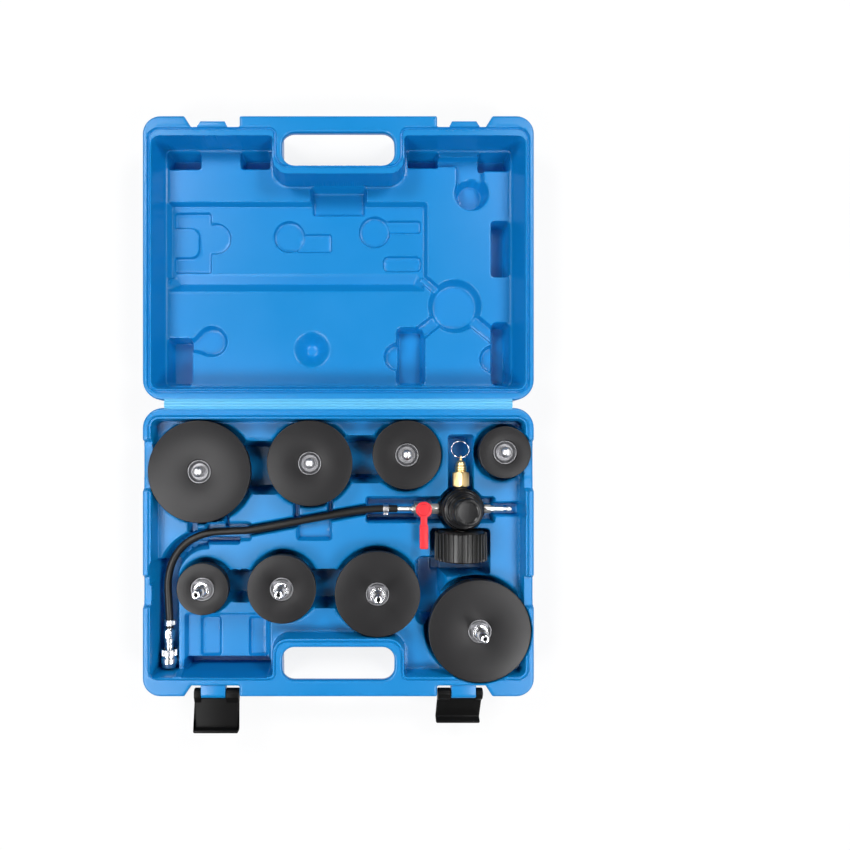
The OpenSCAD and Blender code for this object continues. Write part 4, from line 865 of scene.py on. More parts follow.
# Plugs
# Eight stepped plugs turned from charcoal nylon bar, each with three hose sizes 5 mm apart under
# a thin flange. The tool leaves fine rings on their faces.


def turned(mesh, corners, turn, sides=72, flats=(), cuts=4):
    """Ring or solid of revolution from a closed profile (radius, height, softness), in millimetres.

    Each of flats is (from, to, width across, number, first angle) and cuts the ring to flat sides.
    """
    outline = rounded(corners, cuts)
    lengths = np.concatenate([[0], np.cumsum(np.linalg.norm(np.diff(outline, axis=0), axis=1))])
    marks = mesh.loops.layers.uv.get("along_profile") or mesh.loops.layers.uv.new("along_profile")
    rows = []
    for r, z in outline:
        row = []
        for k in range(sides):
            a = 2 * math.pi * k / sides
            reach = r
            for low, high, across, number, first in flats:
                if low - 0.001 <= z <= high + 0.001:
                    part = 2 * math.pi / number
                    off = (a - math.radians(first)) % part - part / 2
                    reach = min(reach, across / 2 / math.cos(off))
            spot = turn @ Vector((reach * math.cos(a), reach * math.sin(a), z)) * 0.001
            row.append(mesh.verts.new(spot))
        rows.append(row)
    for i in range(len(rows)):
        j = (i + 1) % len(rows)
        if outline[i][0] < 0.001 and outline[j][0] < 0.001:
            continue
        here, ahead = lengths[i], lengths[j] if j > i else lengths[-1]
        for k in range(sides):
            n = (k + 1) % sides
            face = mesh.faces.new((rows[i][k], rows[i][n], rows[j][n], rows[j][k]))
            for loop, along, corner in zip(face.loops, (here, here, ahead, ahead),
                                           (k, k + 1, k + 1, k)):
                loop[marks].uv = (along / 1000, corner / sides)


def turned_piece(name, corners, turn, sides, finish, body, node, flats=()):
    """One turned piece, in place of one solid."""
    mesh = bmesh.new()
    turned(mesh, corners, turn, sides, flats)
    finished(name, mesh, finish, body, [node])


def machined(name, colour, roughness, marks, mark_size, metallic=1.0, gloss=0.5, streak=0.05):
    """Turned metal or plastic: fine rings that follow the piece's own profile, and faint streaks."""
    material, tree, skin = new_finish(name, gloss, metallic)
    profile = wired(tree, "ShaderNodeUVMap", uv_map="along_profile").outputs["UV"]
    along = wired(tree, "ShaderNodeSeparateXYZ", {0: profile}).outputs["X"]
    rings = wired(tree, "ShaderNodeTexNoise", {"Scale": 1 / mark_size, "Detail": 3, "W": along},
                  noise_dimensions="1D").outputs["Fac"]
    place = wired(tree, "ShaderNodeTexCoord").outputs["Object"]
    cloud = wired(tree, "ShaderNodeTexNoise",
                  {"Scale": 45, "Detail": 4, "Vector": place}).outputs["Fac"]
    both = wired(tree, "ShaderNodeMix", {"Factor": 0.45, "A": rings, "B": cloud}).outputs["Result"]
    patterned(tree, skin, colour, streak, (roughness * 0.75, roughness * 1.25), both, rings, marks,
              0.00002)
    return material


turned_nylon = machined("turned_nylon", (0.017, 0.0165, 0.0175), 0.32, 0.5, 0.0009, metallic=0.0,
                        gloss=0.20, streak=0.18)
step_high, step_less, cup_round, cup_deep = 10.0, 2.5, 10.7, 4
stem_hole, foot_hole = 4.05, 8.3


def upright(node):
    """Placement of a piece whose middle line stands on the middle of a solid."""
    low, high = corner_of(node)
    return Matrix.Translation((*((low[:2] + high[:2]) / 2), low[2]))


for plug in plugs:
    low, high = corner_of(plug)
    top = high[2] - low[2]
    flange = (high[0] - low[0]) / 2
    wide = flange - flange_over
    turned_piece(plug + "_turned", [
        (stem_hole, 3, 0), (foot_hole, 3, 0), (foot_hole, 0, 0.4), (wide - 2 * step_less, 0, 0.9),
        (wide - 2 * step_less, step_high, 0.35), (wide - step_less, step_high, 0.7),
        (wide - step_less, 2 * step_high, 0.35), (wide, 2 * step_high, 0.7),
        (wide, 3 * step_high, 0.35), (flange, 3 * step_high, 0.4), (flange, top, 0.7),
        (cup_round, top, 0.45), (cup_round, top - cup_deep, 0.3), (stem_hole, top - cup_deep, 0)],
        upright(plug), 128, turned_nylon, plug, plug)

# Washers
# Dished cup washers pressed from bright steel, one in the recess of each plug.
# Dark grey colour for bright steel: painted shade of the plug's recess and painted dark reflection, not
# the steel's own tone.
washer_steel_painted_shade = machined("washer_steel_painted_shade", (0.22, 0.22, 0.23), 0.42, 0.12, 0.0007, streak=0.10)
for plug in plugs:
    node = plug.replace("plug", "washer")
    turned_piece(node + "_dished", [
        (stem_hole, 0, 0), (8.4, 0, 0.8), (10.35, 2.9, 0.9), (10.35, 3.7, 0.3), (9.5, 3.7, 0.3),
        (9.3, 3.0, 0.8), (7.5, 1, 0.8), (stem_hole, 1, 0.2)],
        upright(node), 72, washer_steel_painted_shade, plug, node)

# Studs and air nipples
# Chromed steel, polished before plating. A blanking plug is held by a stud with a domed head, and
# an inlet plug by a bored nipple with a hexagon, to which the hose's coupler goes.
chrome = machined("chrome", (0.76, 0.76, 0.78), 0.34, 0.05, 0.0006, streak=0.04)
nipple_chrome = machined("nipple_chrome", (0.78, 0.78, 0.80), 0.16, 0.10, 0.0005, streak=0.05)
shank = [(0, 0, 0), (7.9, 0, 0.6), (7.9, 2.8, 0.4), (4.0, 2.8, 0.2)]
seat, dome_round, dome_at = 30.8, 4.8, 6.2
for size in (90, 75, 60, 45):
    node = f"domed_stud_{size}"
    dome = [(dome_round * math.cos(a), seat + dome_at + dome_round * math.sin(a), 0)
            for a in np.linspace(0, math.pi / 2, 14)]
    dome[-1] = (0, seat + dome_at + dome_round, 0)
    turned_piece(node + "_polished", [*shank, (4.0, seat, 0), (4.8, seat, 0.3), *dome],
                 upright(node), 64, chrome, f"blank_plug_{size}", node)
hexagon = 13.2 * math.cos(math.pi / 6)
nipple = [(4.0, 0, 0), (6.5, 0, 0.3), (7.2, 1.0, 0), (7.2, 6.0, 0), (6.5, 7, 0.3), (5.0, 7, 0.3),
          (5.0, 9, 0.4), (4.1, 10, 0.8), (4.1, 13.5, 0.8), (5.0, 14.5, 0.5), (5.0, 16.5, 0.6),
          (3.3, 18, 0.9), (3.3, 21, 0.8), (3.75, 22, 0.4), (3.75, 28, 1.1), (1.5, 28, 1.1)]
bored = [(1.5, 0, 0), *shank[1:], *[(r, seat + z, soft) for r, z, soft in nipple]]
for size in (45, 60, 75, 90):
    node = f"air_nipple_{size}"
    turned_piece(node + "_bored", bored, upright(node), 72, nipple_chrome, f"inlet_plug_{size}",
                 node, [(seat + 0.2, seat + 6.9, hexagon, 6, 0)])

# Regulator
# Painted zinc body with four bosses, under a black moulded bonnet in two tiers. Inside are the
# diaphragm, its poppet and the spring that the adjusting screw loads when the knob is turned.


def dressed(finish, *nodes):
    """Gives solids of the frame their own finish."""
    for node in nodes:
        materials = bpy.data.objects[node].data.materials
        materials.clear()
        materials.append(finish)


def along_x(x):
    """Placement on the tester's pipe line, looking to the right."""
    return Matrix.Translation((x, reg_y, pipe)) @ Matrix.Rotation(math.pi / 2, 4, "Y")


def along_y(y):
    """Placement on the line through the regulator, looking towards the hinge."""
    return Matrix.Translation((reg_x, y, pipe)) @ Matrix.Rotation(-math.pi / 2, 4, "X")


casting_paint = moulded("casting_paint", (0.011, 0.011, 0.012), 0.40, 0.30, 0.0011, gloss=0.25)
bonnet_black = moulded("bonnet_black", (0.010, 0.010, 0.011), 0.18, 0.06, 0.0009, gloss=0.32)
brass = machined("brass", (0.86, 0.62, 0.30), 0.38, 0.15, 0.0005, streak=0.08)
plain_steel = moulded("plain_steel", (0.50, 0.50, 0.52), 0.30, 0.05, 0.0006, metallic=1.0)
inner_brass = moulded("inner_brass", (0.72, 0.48, 0.18), 0.30, 0.05, 0.0006, metallic=1.0)
membrane = moulded("membrane", (0.03, 0.022, 0.016), 0.6, 0.25, 0.0006)
dressed(casting_paint, "regulator_body")
dressed(membrane, "regulator_diaphragm")
dressed(inner_brass, "regulator_poppet")
dressed(plain_steel, "range_spring", "adjusting_screw")
neck, tall = 13.8, bonnet_high[2] - bonnet_low[2]
turned_piece("regulator_bonnet_moulded", [
    (4.08, tall - 3, 0), (11, tall - 3, 0.3), (11, 0.1, 0), (bonnet, 0, 0.5), (bonnet, 5.6, 0.9),
    (bonnet - 1.6, 6.6, 0.5), (bonnet - 2.0, 9, 1.0), (neck + 0.6, 9.3, 0.8), (neck, 10.0, 0.5),
    (neck, tall, 0.9), (4.08, tall, 0.3)],
    upright("regulator_bonnet"), 96, bonnet_black, "tester", "regulator_bonnet")

# Regulator knob
# Moulded black knob with shallow finger flutes round its side and a shallow dish in its top.
knob_black = moulded("knob_black", (0.009, 0.009, 0.010), 0.18, 0.05, 0.0008, gloss=0.34)
knob_low, knob_high = corner_of("regulator_knob")
knob = (knob_high[0] - knob_low[0]) / 2
tall = knob_high[2] - knob_low[2]
mesh = bmesh.new()
turned(mesh, [(4.02, tall - 5, 0), (4.02, 0, 0.2), (knob - 0.6, 0, 0.4), (knob, 1.0, 0.4),
              (knob, 4.0, 0), (knob, 8.0, 0), (knob, tall - 5, 0.3), (knob, tall - 1.4, 1.1),
              (knob - 1.6, tall, 0.9),
              (knob - 3.2, tall, 0.6), (knob - 4.0, tall - 0.5, 0.6), (0, tall - 0.5, 0),
              (0, tall - 5, 0)], upright("regulator_knob"), 192)
knob_middle = upright("regulator_knob").translation
flutes, flute_deep = 24, 0.55
for vert in mesh.verts:
    x, y = vert.co.x * 1000 - knob_middle[0], vert.co.y * 1000 - knob_middle[1]
    height = vert.co.z * 1000 - knob_low[2]
    reach = math.hypot(x, y)
    if reach > knob - 0.1 and 0.9 < height < tall - 4:
        wave = max(0, math.cos(flutes * math.atan2(y, x))) ** 3
        less = 1 - flute_deep * wave / reach
        vert.co.x, vert.co.y = (knob_middle[0] + x * less) / 1000, (knob_middle[1] + y * less) / 1000
finished("regulator_knob_fluted", mesh, knob_black, "knob", ["regulator_knob"])

# Supply nipple and outlet connector
# Nickelled steel fittings screwed into the regulator's bosses, each with a hexagon for a spanner.
nickel = machined("nickel", (0.74, 0.72, 0.69), 0.32, 0.15, 0.0005, streak=0.06)
supply_start = corner_of("supply_nipple")[0][0] + 4.0
turned_piece("supply_nipple_turned", [
    (1.5, -4, 0), (3.1, -4, 0.3), (3.1, 0, 0), (4.0, 0, 0.2), (4.7, 0.7, 0), (4.7, 5.9, 0),
    (4.0, 6.6, 0.2), (3.2, 6.6, 0.2), (3.2, 10.6, 0.3), (2.7, 11.2, 0.3), (2.7, 18.4, 0.4),
    (2.0, 19.2, 0.5), (2.0, 21, 0.5), (2.7, 21.8, 0.4), (2.7, 25.4, 0.5),
    (2.1, 26, 0.3), (1.5, 26, 0.1)],
    along_x(supply_start), 72, nickel, "tester", "supply_nipple",
    [(0.1, 6.5, 8, 6, 0)])
valve_low, valve_high = corner_of("ball_valve_body")
link_start = valve_high[0]
link_long = reg_x - 20.5 - link_start
turned_piece("outlet_connector_turned", [
    (2.0, -2.4, 0), (3.1, -2.4, 0.2), (3.1, 0, 0), (4.5, 0, 0.2), (5.2, 0.6, 0),
    (5.2, link_long - 0.6, 0), (4.5, link_long, 0.2), (3.1, link_long, 0),
    (3.1, link_long + 3.5, 0.2), (2.0, link_long + 3.5, 0)],
    along_x(link_start), 72, nickel, "tester", "outlet_connector",
    [(0.1, link_long - 0.1, 9, 6, 0)])

# Ball valve
# Nickelled body with a bored steel ball, whose stem comes up through a boss to the red lever.
valve_nickel = moulded("valve_nickel", (0.66, 0.63, 0.58), 0.34, 0.06, 0.0007, metallic=1.0)
dressed(valve_nickel, "ball_valve_body")
dressed(plain_steel, "valve_ball", "valve_stem")

# Valve lever
# Pressed steel bar dipped in red plastic, cranked up past its neck, with a round cap over the stem.
lever_red = moulded("lever_red", (0.74, 0.024, 0.036), 0.34, 0.06, 0.0012, gloss=0.26)
lever_low, lever_high = corner_of("valve_lever")
head = (lever_high[0] - lever_low[0]) / 2
lever_x, lever_y = (lever_low[0] + lever_high[0]) / 2, lever_high[1] - head
neck_half, bar_half, bar_end = 3.1, 3.9, lever_low[1] - lever_y
down = math.atan2(-math.sqrt(head ** 2 - neck_half ** 2), neck_half)
sweep = np.linspace(down, math.pi - down, 40)
outline = np.concatenate([
    np.stack([head * np.cos(sweep), head * np.sin(sweep)], 1),
    rounded([(-neck_half, -7.4, 0), (-neck_half, -12.5, 1.5), (-bar_half, -15, 2.5),
             (-bar_half, bar_end, 1.7), (bar_half, bar_end, 1.7), (bar_half, -15, 2.5),
             (neck_half, -12.5, 1.5), (neck_half, -7.4, 0)], 4)])
crank_start, crank_long, crank_high = -14.2, 2.8, 0.0008
mesh = bmesh.new()
bar(mesh, outline, 0, 2.6, 0.75, lying)
for y in (-14.2, -14.9, -15.6, -16.3, -17.0):
    bmesh.ops.bisect_plane(mesh, geom=[*mesh.verts, *mesh.edges, *mesh.faces], dist=1e-7,
                           plane_co=(0, y / 1000, 0), plane_no=(0, 1, 0))
for vert in mesh.verts:
    lift = min(1, max(0, (-vert.co.y * 1000 + crank_start) / crank_long))
    vert.co.z += crank_high * lift * lift * (3 - 2 * lift)
turned(mesh, [(0, 2.2, 0), (5.4, 2.2, 0), (5.4, 3.0, 0.5), (4.6, 3.35, 0.5), (0, 3.4, 0)], Matrix(), 48)
bmesh.ops.translate(mesh, verts=mesh.verts,
                    vec=(lever_x / 1000, lever_y / 1000, lever_low[2] / 1000))
finished("valve_lever_dipped", mesh, lever_red, "valve", ["valve_lever"])

# Hose tail and clamps
# Barbed nickelled tail that the hose is pushed over, and a pinched band clamp at each hose end.
tail_start = corner_of("hose_tail")[0][0]
tail_long = valve_low[0] - tail_start
barbs = [point for k in range(5) for point in ((2.3, 0.6 + 1.9 * k, 0.1), (2.75, 2.3 + 1.9 * k, 0.15))]
turned_piece("hose_tail_barbed", [
    (1.5, 0, 0.1), (2.0, 0, 0.2), *barbs, (2.4, 10.6, 0.2), (2.4, tail_long - 2.6, 0.2),
    (4.0, tail_long - 2.4, 0.3), (4.0, tail_long - 0.1, 0.2), (3.1, tail_long - 0.1, 0),
    (3.1, tail_long + 2.3, 0.2), (1.5, tail_long + 2.3, 0)],
    along_x(tail_start), 64, nickel, "tester", "hose_tail")
clamp_steel = moulded("clamp_steel", (0.66, 0.66, 0.67), 0.30, 0.05, 0.0006, metallic=1.0)
coupler_x, coupler_start = hose_turns[-1][0] * 1000, hose_turns[-1][1] * 1000
band, band_wide, ear_high = 4.6, 5.0, 2.2
ear = rounded([(band - 0.9, -2.2, 0.3), (band + ear_high - 0.7, -1.7, 0.8),
               (band + ear_high - 1.3, 0, 0.5), (band + ear_high - 0.7, 1.7, 0.8),
               (band - 0.9, 2.2, 0.3)])
mesh = bmesh.new()
for turn in (along_x(tail_start - 13) @ Matrix.Rotation(-math.pi / 2, 4, "Z"),
             Matrix.Translation((coupler_x - 0.2, coupler_start + 2.6, pipe))
             @ Matrix.Rotation(-math.pi / 2, 4, "X")):
    turned(mesh, [(3.55, 0, 0), (band - 0.15, 0, 0.2), (band - 0.15, 0.8, 0.2), (band - 0.45, 1.1, 0.1),
                  (band - 0.45, 3.9, 0.1), (band - 0.15, 4.2, 0.2), (band - 0.15, band_wide, 0.2),
                  (3.55, band_wide, 0)], turn, 56)
    bar(mesh, ear, 0.5, band_wide - 0.5, 0.4, turn @ lying)
finished("hose_clamps_pinched", mesh, clamp_steel, "tester", ["hose_clamps"])

# Coupler
# Quick coupler of nickelled brass: a hexagonal connector, the body behind it, and a sleeve with a
# knurled collar, which slides back to let an air nipple go.
coupler_nickel = machined("coupler_nickel", (0.56, 0.56, 0.57), 0.24, 0.12, 0.0005, streak=0.05)


def along_coupler(y):
    """Placement on the coupler's line, looking to the front."""
    return Matrix.Translation((coupler_x, y, pipe)) @ Matrix.Rotation(math.pi / 2, 4, "X")


turned_piece("coupler_connector_turned", [
    (1.5, 0, 0), (3.2, 0, 0.2), (3.2, 1.0, 0.1), (4.3, 1.0, 0.2), (5.1, 1.8, 0), (5.1, 8.5, 0),
    (4.3, 9.2, 0.2), (2.9, 9.2, 0), (2.9, 12.2, 0.2), (1.5, 12.2, 0)],
    along_coupler(coupler_start), 72, coupler_nickel, "tester", "coupler_connector",
    [(1.1, 9.1, 8.8, 6, 0)])
coupler_back = coupler_start - 9.2
coupler_front = corner_of("coupler_body")[0][1]
body_long = coupler_back - coupler_front
turned_piece("coupler_body_turned", [
    (3.0, 0, 0), (4.7, 0, 0.3), (4.7, 3.0, 0.3), (3.7, 3.4, 0.3), (3.7, 4.4, 0.3), (4.2, 4.8, 0.3),
    (4.2, 8.2, 0.3), (3.9, 8.6, 0.2), (3.9, 9.6, 0.2), (4.2, 10.0, 0.3), (4.2, 12.6, 0.1),
    (4.94, 12.9, 0.2), (4.94, body_long, 0.35), (3.85, body_long, 0.3), (3.85, body_long - 13, 0),
    (1.5, body_long - 13, 0), (1.5, 5, 0), (3.0, 5, 0)],
    along_coupler(coupler_back), 72, coupler_nickel, "tester", "coupler_body")
sleeve_bore, sleeve_reach, sleeve_long = 5.03, 7.4, 17.0
mesh = bmesh.new()
turned(mesh, [(sleeve_bore, 0, 0.1), (6.5, 0, 0.2), (7.0, 0.5, 0.1), (7.0, 5.5, 0.1), (6.6, 5.9, 0.2),
              (6.6, 7.4, 0.2), (sleeve_reach, 8.0, 0.3), (sleeve_reach, 12.2, 1.6), (6.2, 16.0, 1.2),
              (5.6, sleeve_long, 0.3), (sleeve_bore, sleeve_long, 0.1)],
       along_coupler(coupler_front + sleeve_long - 0.3), 72)


def round_tree():
    """Geometry Nodes tree that repeats a shape round a ring in the XZ plane."""
    tree = bpy.data.node_groups.new("repeated_round", "GeometryNodeTree")
    sockets = {label: tree.interface.new_socket(label, in_out="INPUT", socket_type="NodeSocket" + kind)
               for label, kind in (("Geometry", "Geometry"), ("Shape", "Object"), ("Number", "Int"),
                                   ("Radius", "Float"), ("First angle", "Float"),
                                   ("Step angle", "Float"), ("Finish", "Material"))}
    tree.interface.new_socket("Geometry", in_out="OUTPUT", socket_type="NodeSocketGeometry")
    given = wired(tree, "NodeGroupInput").outputs

    def maths(kind, *values):
        return wired(tree, "ShaderNodeMath", dict(enumerate(values)), operation=kind).outputs[0]

    which = wired(tree, "GeometryNodeInputIndex").outputs[0]
    angle = maths("MULTIPLY_ADD", which, given["Step angle"], given["First angle"])
    spot = wired(tree, "ShaderNodeCombineXYZ", {
        0: maths("MULTIPLY", maths("COSINE", angle), given["Radius"]),
        2: maths("MULTIPLY", maths("SINE", angle), given["Radius"])})
    spots = wired(tree, "GeometryNodePoints", {"Count": given["Number"], "Position": spot.outputs[0]})
    shape = wired(tree, "GeometryNodeObjectInfo", {"Object": given["Shape"]})
    lean = wired(tree, "ShaderNodeCombineXYZ", {1: maths("MULTIPLY", angle, -1)})
    copies = wired(tree, "GeometryNodeInstanceOnPoints", {
        "Points": spots.outputs[0], "Instance": shape.outputs["Geometry"], "Rotation": lean.outputs[0]})
    real = wired(tree, "GeometryNodeRealizeInstances", {0: copies.outputs[0]})
    finish = wired(tree, "GeometryNodeSetMaterial",
                   {"Geometry": real.outputs[0], "Material": given["Finish"]})
    wired(tree, "NodeGroupOutput", {0: finish.outputs[0]})
    return tree, {label: socket.identifier for label, socket in sockets.items()}


repeat_tree, repeat_inputs = round_tree()
side_on = Matrix(((0, 1, 0), (1, 0, 0), (0, 0, 1))).to_4x4()


def repeated(mesh, profile, depth, soft, number, radius, first, step, finish, turn):
    """Adds a small bar to a mesh as often as it is repeated round a ring, in millimetres."""
    small = bmesh.new()
    bar(small, profile, 0, depth, soft, side_on)
    bmesh.ops.recalc_face_normals(small, faces=small.faces)
    shape_data = bpy.data.meshes.new("repeated_shape")
    small.to_mesh(shape_data)
    small.free()
    shape = bpy.data.objects.new("repeated_shape", shape_data)
    holder = bpy.data.objects.new("repeated_holder", bpy.data.meshes.new("repeated_holder"))
    for thing in (shape, holder):
        bpy.context.scene.collection.objects.link(thing)
    modifier = holder.modifiers.new("repeated", "NODES")
    modifier.node_group = repeat_tree
    for label, value in (("Shape", shape), ("Number", number), ("Radius", radius / 1000),
                         ("First angle", math.radians(first)), ("Step angle", math.radians(step)),
                         ("Finish", finish)):
        modifier[repeat_inputs[label]] = value
    bpy.context.view_layer.update()
    made = bpy.data.meshes.new_from_object(holder.evaluated_get(bpy.context.evaluated_depsgraph_get()))
    scaled = turn.copy()
    scaled.translation = turn.translation / 1000
    made.transform(scaled)
    mesh.from_mesh(made)
    bpy.data.meshes.remove(made)
    for thing in (shape, holder):
        bpy.data.objects.remove(thing)


knurls, knurl_round = 60, 6.95
knurl = rounded([(0, -0.34, 0), (0.42, 0, 0.12), (0, 0.34, 0)], 2)
knurl_turn = Matrix.Translation((coupler_x, coupler_front + sleeve_long - 0.8, pipe))
repeated(mesh, knurl, -4.6, 0.3, knurls, knurl_round, 0, 360 / knurls, coupler_nickel, knurl_turn)
finished("coupler_sleeve_knurled", mesh, coupler_nickel, "sleeve", ["coupler_sleeve"])

# Safety valve
# Brass relief valve in the regulator's far boss. A light spring holds its lifting stem down, and
# the stem's cap has a flat eye for the pull ring.
relief_start = corner_of("safety_valve_body")[0][1] + 3.5
turned_piece("safety_valve_turned", [
    (2.0, -3.5, 0), (3.1, -3.5, 0.2), (3.1, 0, 0), (7.0, 0, 0.3), (8.2, 1.0, 0), (8.2, 12.2, 0),
    (7.0, 13.2, 0.3), (5.3, 13.2, 0.2), (5.4, 13.8, 0.3), (4.7, 14.4, 0.2), (5.4, 15.0, 0.3),
    (5.4, 16.4, 0.4), (1.48, 16.4, 0.2), (1.48, 14.4, 0), (4.0, 14.4, 0), (4.0, 2.0, 0), (2.0, 2.0, 0)],
    along_y(relief_start), 72, brass, "tester", "safety_valve_body",
    [(0.1, 13.1, 14, 6, 30)])
dressed(plain_steel, "safety_valve_spring")
cap_start, ring_pivot = relief_start + 16.6, 84.6
mesh = bmesh.new()
turned(mesh, [(0, -14.4, 0), (3.8, -14.4, 0.2), (3.8, -12.4, 0.2), (1.4, -12.4, 0), (1.4, 0, 0),
              (5.2, 0, 0.3), (5.2, 1.9, 0.9), (4.3, 2.7, 0.5), (4.5, 3.6, 0.5), (4.1, 5.4, 1.4),
              (2.6, 7.0, 0.8), (1.5, 7.3, 0.2), (1.5, 8.6, 0), (0, 8.6, 0)], along_y(cap_start), 64)
eye_ring = rounded([(-1.9, 0, 1.8), (1.9, 0, 1.8), (1.9, 3.9, 1.85), (-1.9, 3.9, 1.85)], 6)
eye_line = np.stack([eye_ring[:, 0] * 0.95, eye_ring[:, 1]], 1)
bar(mesh, eye_line, -0.75, 0.75, 0.3, Matrix.Translation((reg_x, ring_pivot - 1.9, pipe))
    @ Matrix(((1, 0, 0), (0, 0, 1), (0, 1, 0))).to_4x4())
finished("safety_valve_stem_turned", mesh, brass, "relief", ["safety_valve_stem"])

# Pull ring
# Ring of bright spring wire through the eye, hanging below level.
ring_steel = machined("ring_steel", (0.66, 0.66, 0.68), 0.16, 0.1, 0.0004, streak=0.04)
ring_reach, ring_wire, ring_hangs = 8.1, 0.6, 22
wire_round = [(ring_reach + ring_wire * math.cos(a), ring_wire * math.sin(a), 0)
              for a in np.linspace(0, 2 * math.pi, 17)[:-1]]
ring_turn = (Matrix.Translation((reg_x, ring_pivot, pipe))
             @ Matrix.Rotation(math.radians(-ring_hangs), 4, "X")
             @ Matrix.Translation((0, ring_reach, 0)))
turned_piece("pull_ring_wire", wire_round, ring_turn, 96, ring_steel, "ring", "pull_ring")

# Gauge
# Steel pressure gauge in a ribbed rubber boot that takes knocks. Behind the clear lens are a
# printed dial with two screws, and a needle that the curved brass tube drives.
gauge_steel = moulded("gauge_steel", (0.40, 0.40, 0.42), 0.30, 0.05, 0.0007, metallic=1.0)
dressed(gauge_steel, "gauge_case")
dressed(inner_brass, "bourdon_tube")
boot_black = moulded("boot_black", (0.009, 0.009, 0.009), 0.34, 0.15, 0.0009, gloss=0.42)
boot_front = boot_low[1]
boot_long = boot_high[1] - boot_front
boot_round, teeth = 22.1, 31
mesh = bmesh.new()
turned(mesh, [(17.9, 0, 0.9), (19.2, 0, 0.6), (20.2, 0.5, 0.5), (21.4, 0.5, 0.6),
              (boot_round, 1.4, 0.8), (boot_round, boot_long - 2.4, 1.6), (20.4, boot_long, 1.2),
              (5.2, boot_long, 0.3), (5.2, boot_long - 2.0, 0), (20.1, boot_long - 2.0, 0),
              (20.1, 2.2, 0), (17.9, 2.2, 0.2)],
       along_y(boot_front), 124)
tooth = rounded([(-0.6, -0.90, 0), (1.75, -0.50, 0.35), (1.75, 0.50, 0.35), (-0.6, 0.90, 0)], 4)
boot_turn = Matrix.Translation((reg_x, boot_front + 1.0, pipe))
repeated(mesh, tooth, boot_long - 2.6, 0.5, teeth, boot_round, 0, 360 / teeth, boot_black, boot_turn)
finished("gauge_boot_ribbed", mesh, boot_black, "tester", ["gauge_boot"])

# Gauge dial
# Tinned plate, painted white and printed with two scales in black and a blue and a red arc.
dial_white = moulded("dial_white", (0.74, 0.79, 0.88), 0.30, 0.04, 0.0006, mottle=0.02)
dial_front = corner_of("gauge_dial")[0][1]
peg_round, peg_angle = 12.1, math.radians(224)
peg_at = Matrix.Translation((peg_round * math.cos(peg_angle), -peg_round * math.sin(peg_angle), 0))
mesh = bmesh.new()
turned(mesh, [(1.4, 0, 0), (18.4, 0, 0.1), (18.4, 0.6, 0.1), (1.4, 0.6, 0)], along_y(dial_front), 96)
turned(mesh, [(0, -0.9, 0), (0.35, -0.9, 0.15), (0.35, 0, 0), (0, 0, 0)],
       along_y(dial_front) @ peg_at, 24)
finished("gauge_dial_plate", mesh, dial_white, "tester", ["gauge_dial"])
ink, ink_thick, ink_merge = dial_front - 0.03, 0.025, 0.000001


def on_dial(angle, radius, y):
    """Place on the dial at an angle and a radius, in metres."""
    return ((reg_x + radius * math.cos(angle)) / 1000, y / 1000,
            (pipe + radius * math.sin(angle)) / 1000)


def arc_strip(mesh, angles, inner, outer):
    """Flat strip of print along an arc, between two radii at each angle, on the dial's face."""
    rows = [[mesh.verts.new(on_dial(angle, r, y))
             for r, y in ((near, ink), (far, ink), (far, ink + ink_thick), (near, ink + ink_thick))]
            for angle, near, far in zip(np.radians(angles), inner, outer)]
    skirt(mesh, rows)
    mesh.faces.new(rows[0])
    mesh.faces.new(rows[-1])


def words(mesh, text, size, place):
    """Printed word or number, made a mesh and then placed on the dial's face."""
    line = bpy.data.curves.new("print", "FONT")
    line.body = text
    line.size = size / 1000
    line.extrude = 0.00001
    line.resolution_u = 3
    line.align_x = "CENTER"
    line.align_y = "CENTER"
    holder = bpy.data.objects.new("print", line)
    bpy.context.scene.collection.objects.link(holder)
    made = bpy.data.meshes.new_from_object(holder.evaluated_get(bpy.context.evaluated_depsgraph_get()))
    bpy.data.objects.remove(holder)
    made.transform(place)
    mesh.from_mesh(made)
    bpy.data.meshes.remove(made)


black_ink = moulded("black_ink", (0.02, 0.02, 0.024), 0.5, 0.03, 0.0005)
blue_ink = moulded("blue_ink", (0.006, 0.13, 0.50), 0.42, 0.03, 0.0005)
red_ink = moulded("red_ink", (0.78, 0.022, 0.030), 0.42, 0.03, 0.0005)
zero_at, ten_at, tens = 217.0, 188.2, 37.7
outer_line, inner_line, arc_low, arc_high = 12.33, 9.96, 10.4, 11.7
face_turn = Matrix.Translation((reg_x, ink, pipe))
printing = bmesh.new()
scale_end = ten_at - 6 * tens
around = np.linspace(zero_at, scale_end, 120)
for radius in (outer_line, inner_line):
    arc_strip(printing, around, [radius - 0.05] * 120, [radius + 0.05] * 120)
tick_thin = rounded([(0, -0.045, 0), (0.75, -0.045, 0), (0.75, 0.045, 0), (0, 0.045, 0)])
tick_long = rounded([(0, -0.07, 0), (1.45, -0.07, 0), (1.45, 0.07, 0), (0, 0.07, 0)])
one_at, ones = 172.5, 55.2
for tick, number, radius, first, step in (
        (tick_thin, 31, outer_line, ten_at, -tens / 5),
        (tick_thin, 4, outer_line, zero_at - 5.8, -5.76),
        (tick_long, 7, outer_line, ten_at, -tens), (tick_long, 1, outer_line, zero_at, 0),
        (tick_thin, 23, inner_line - 0.75, 205.6, -ones / 5),
        (tick_long, 4, inner_line - 1.45, one_at, -ones)):
    repeated(printing, tick, 0.02, 0, number, radius, first, step, black_ink, face_turn)
facing = Matrix.Rotation(math.pi / 2, 4, "X")
labels = [("0", zero_at, 14.9, 2.5)]
labels += [(str(10 * k + 10), ten_at - k * tens, 15.25, 2.5) for k in range(7)]
labels += [(str(k + 1), one_at - ones * k, 7.3, 2.3) for k in range(4)]
for text, angle, radius, size in labels:
    a = math.radians(angle)
    spot = Matrix.Translation(on_dial(a, radius, ink))
    words(printing, text, size, spot @ facing @ Matrix.Rotation(a - math.pi / 2, 4, "Z"))
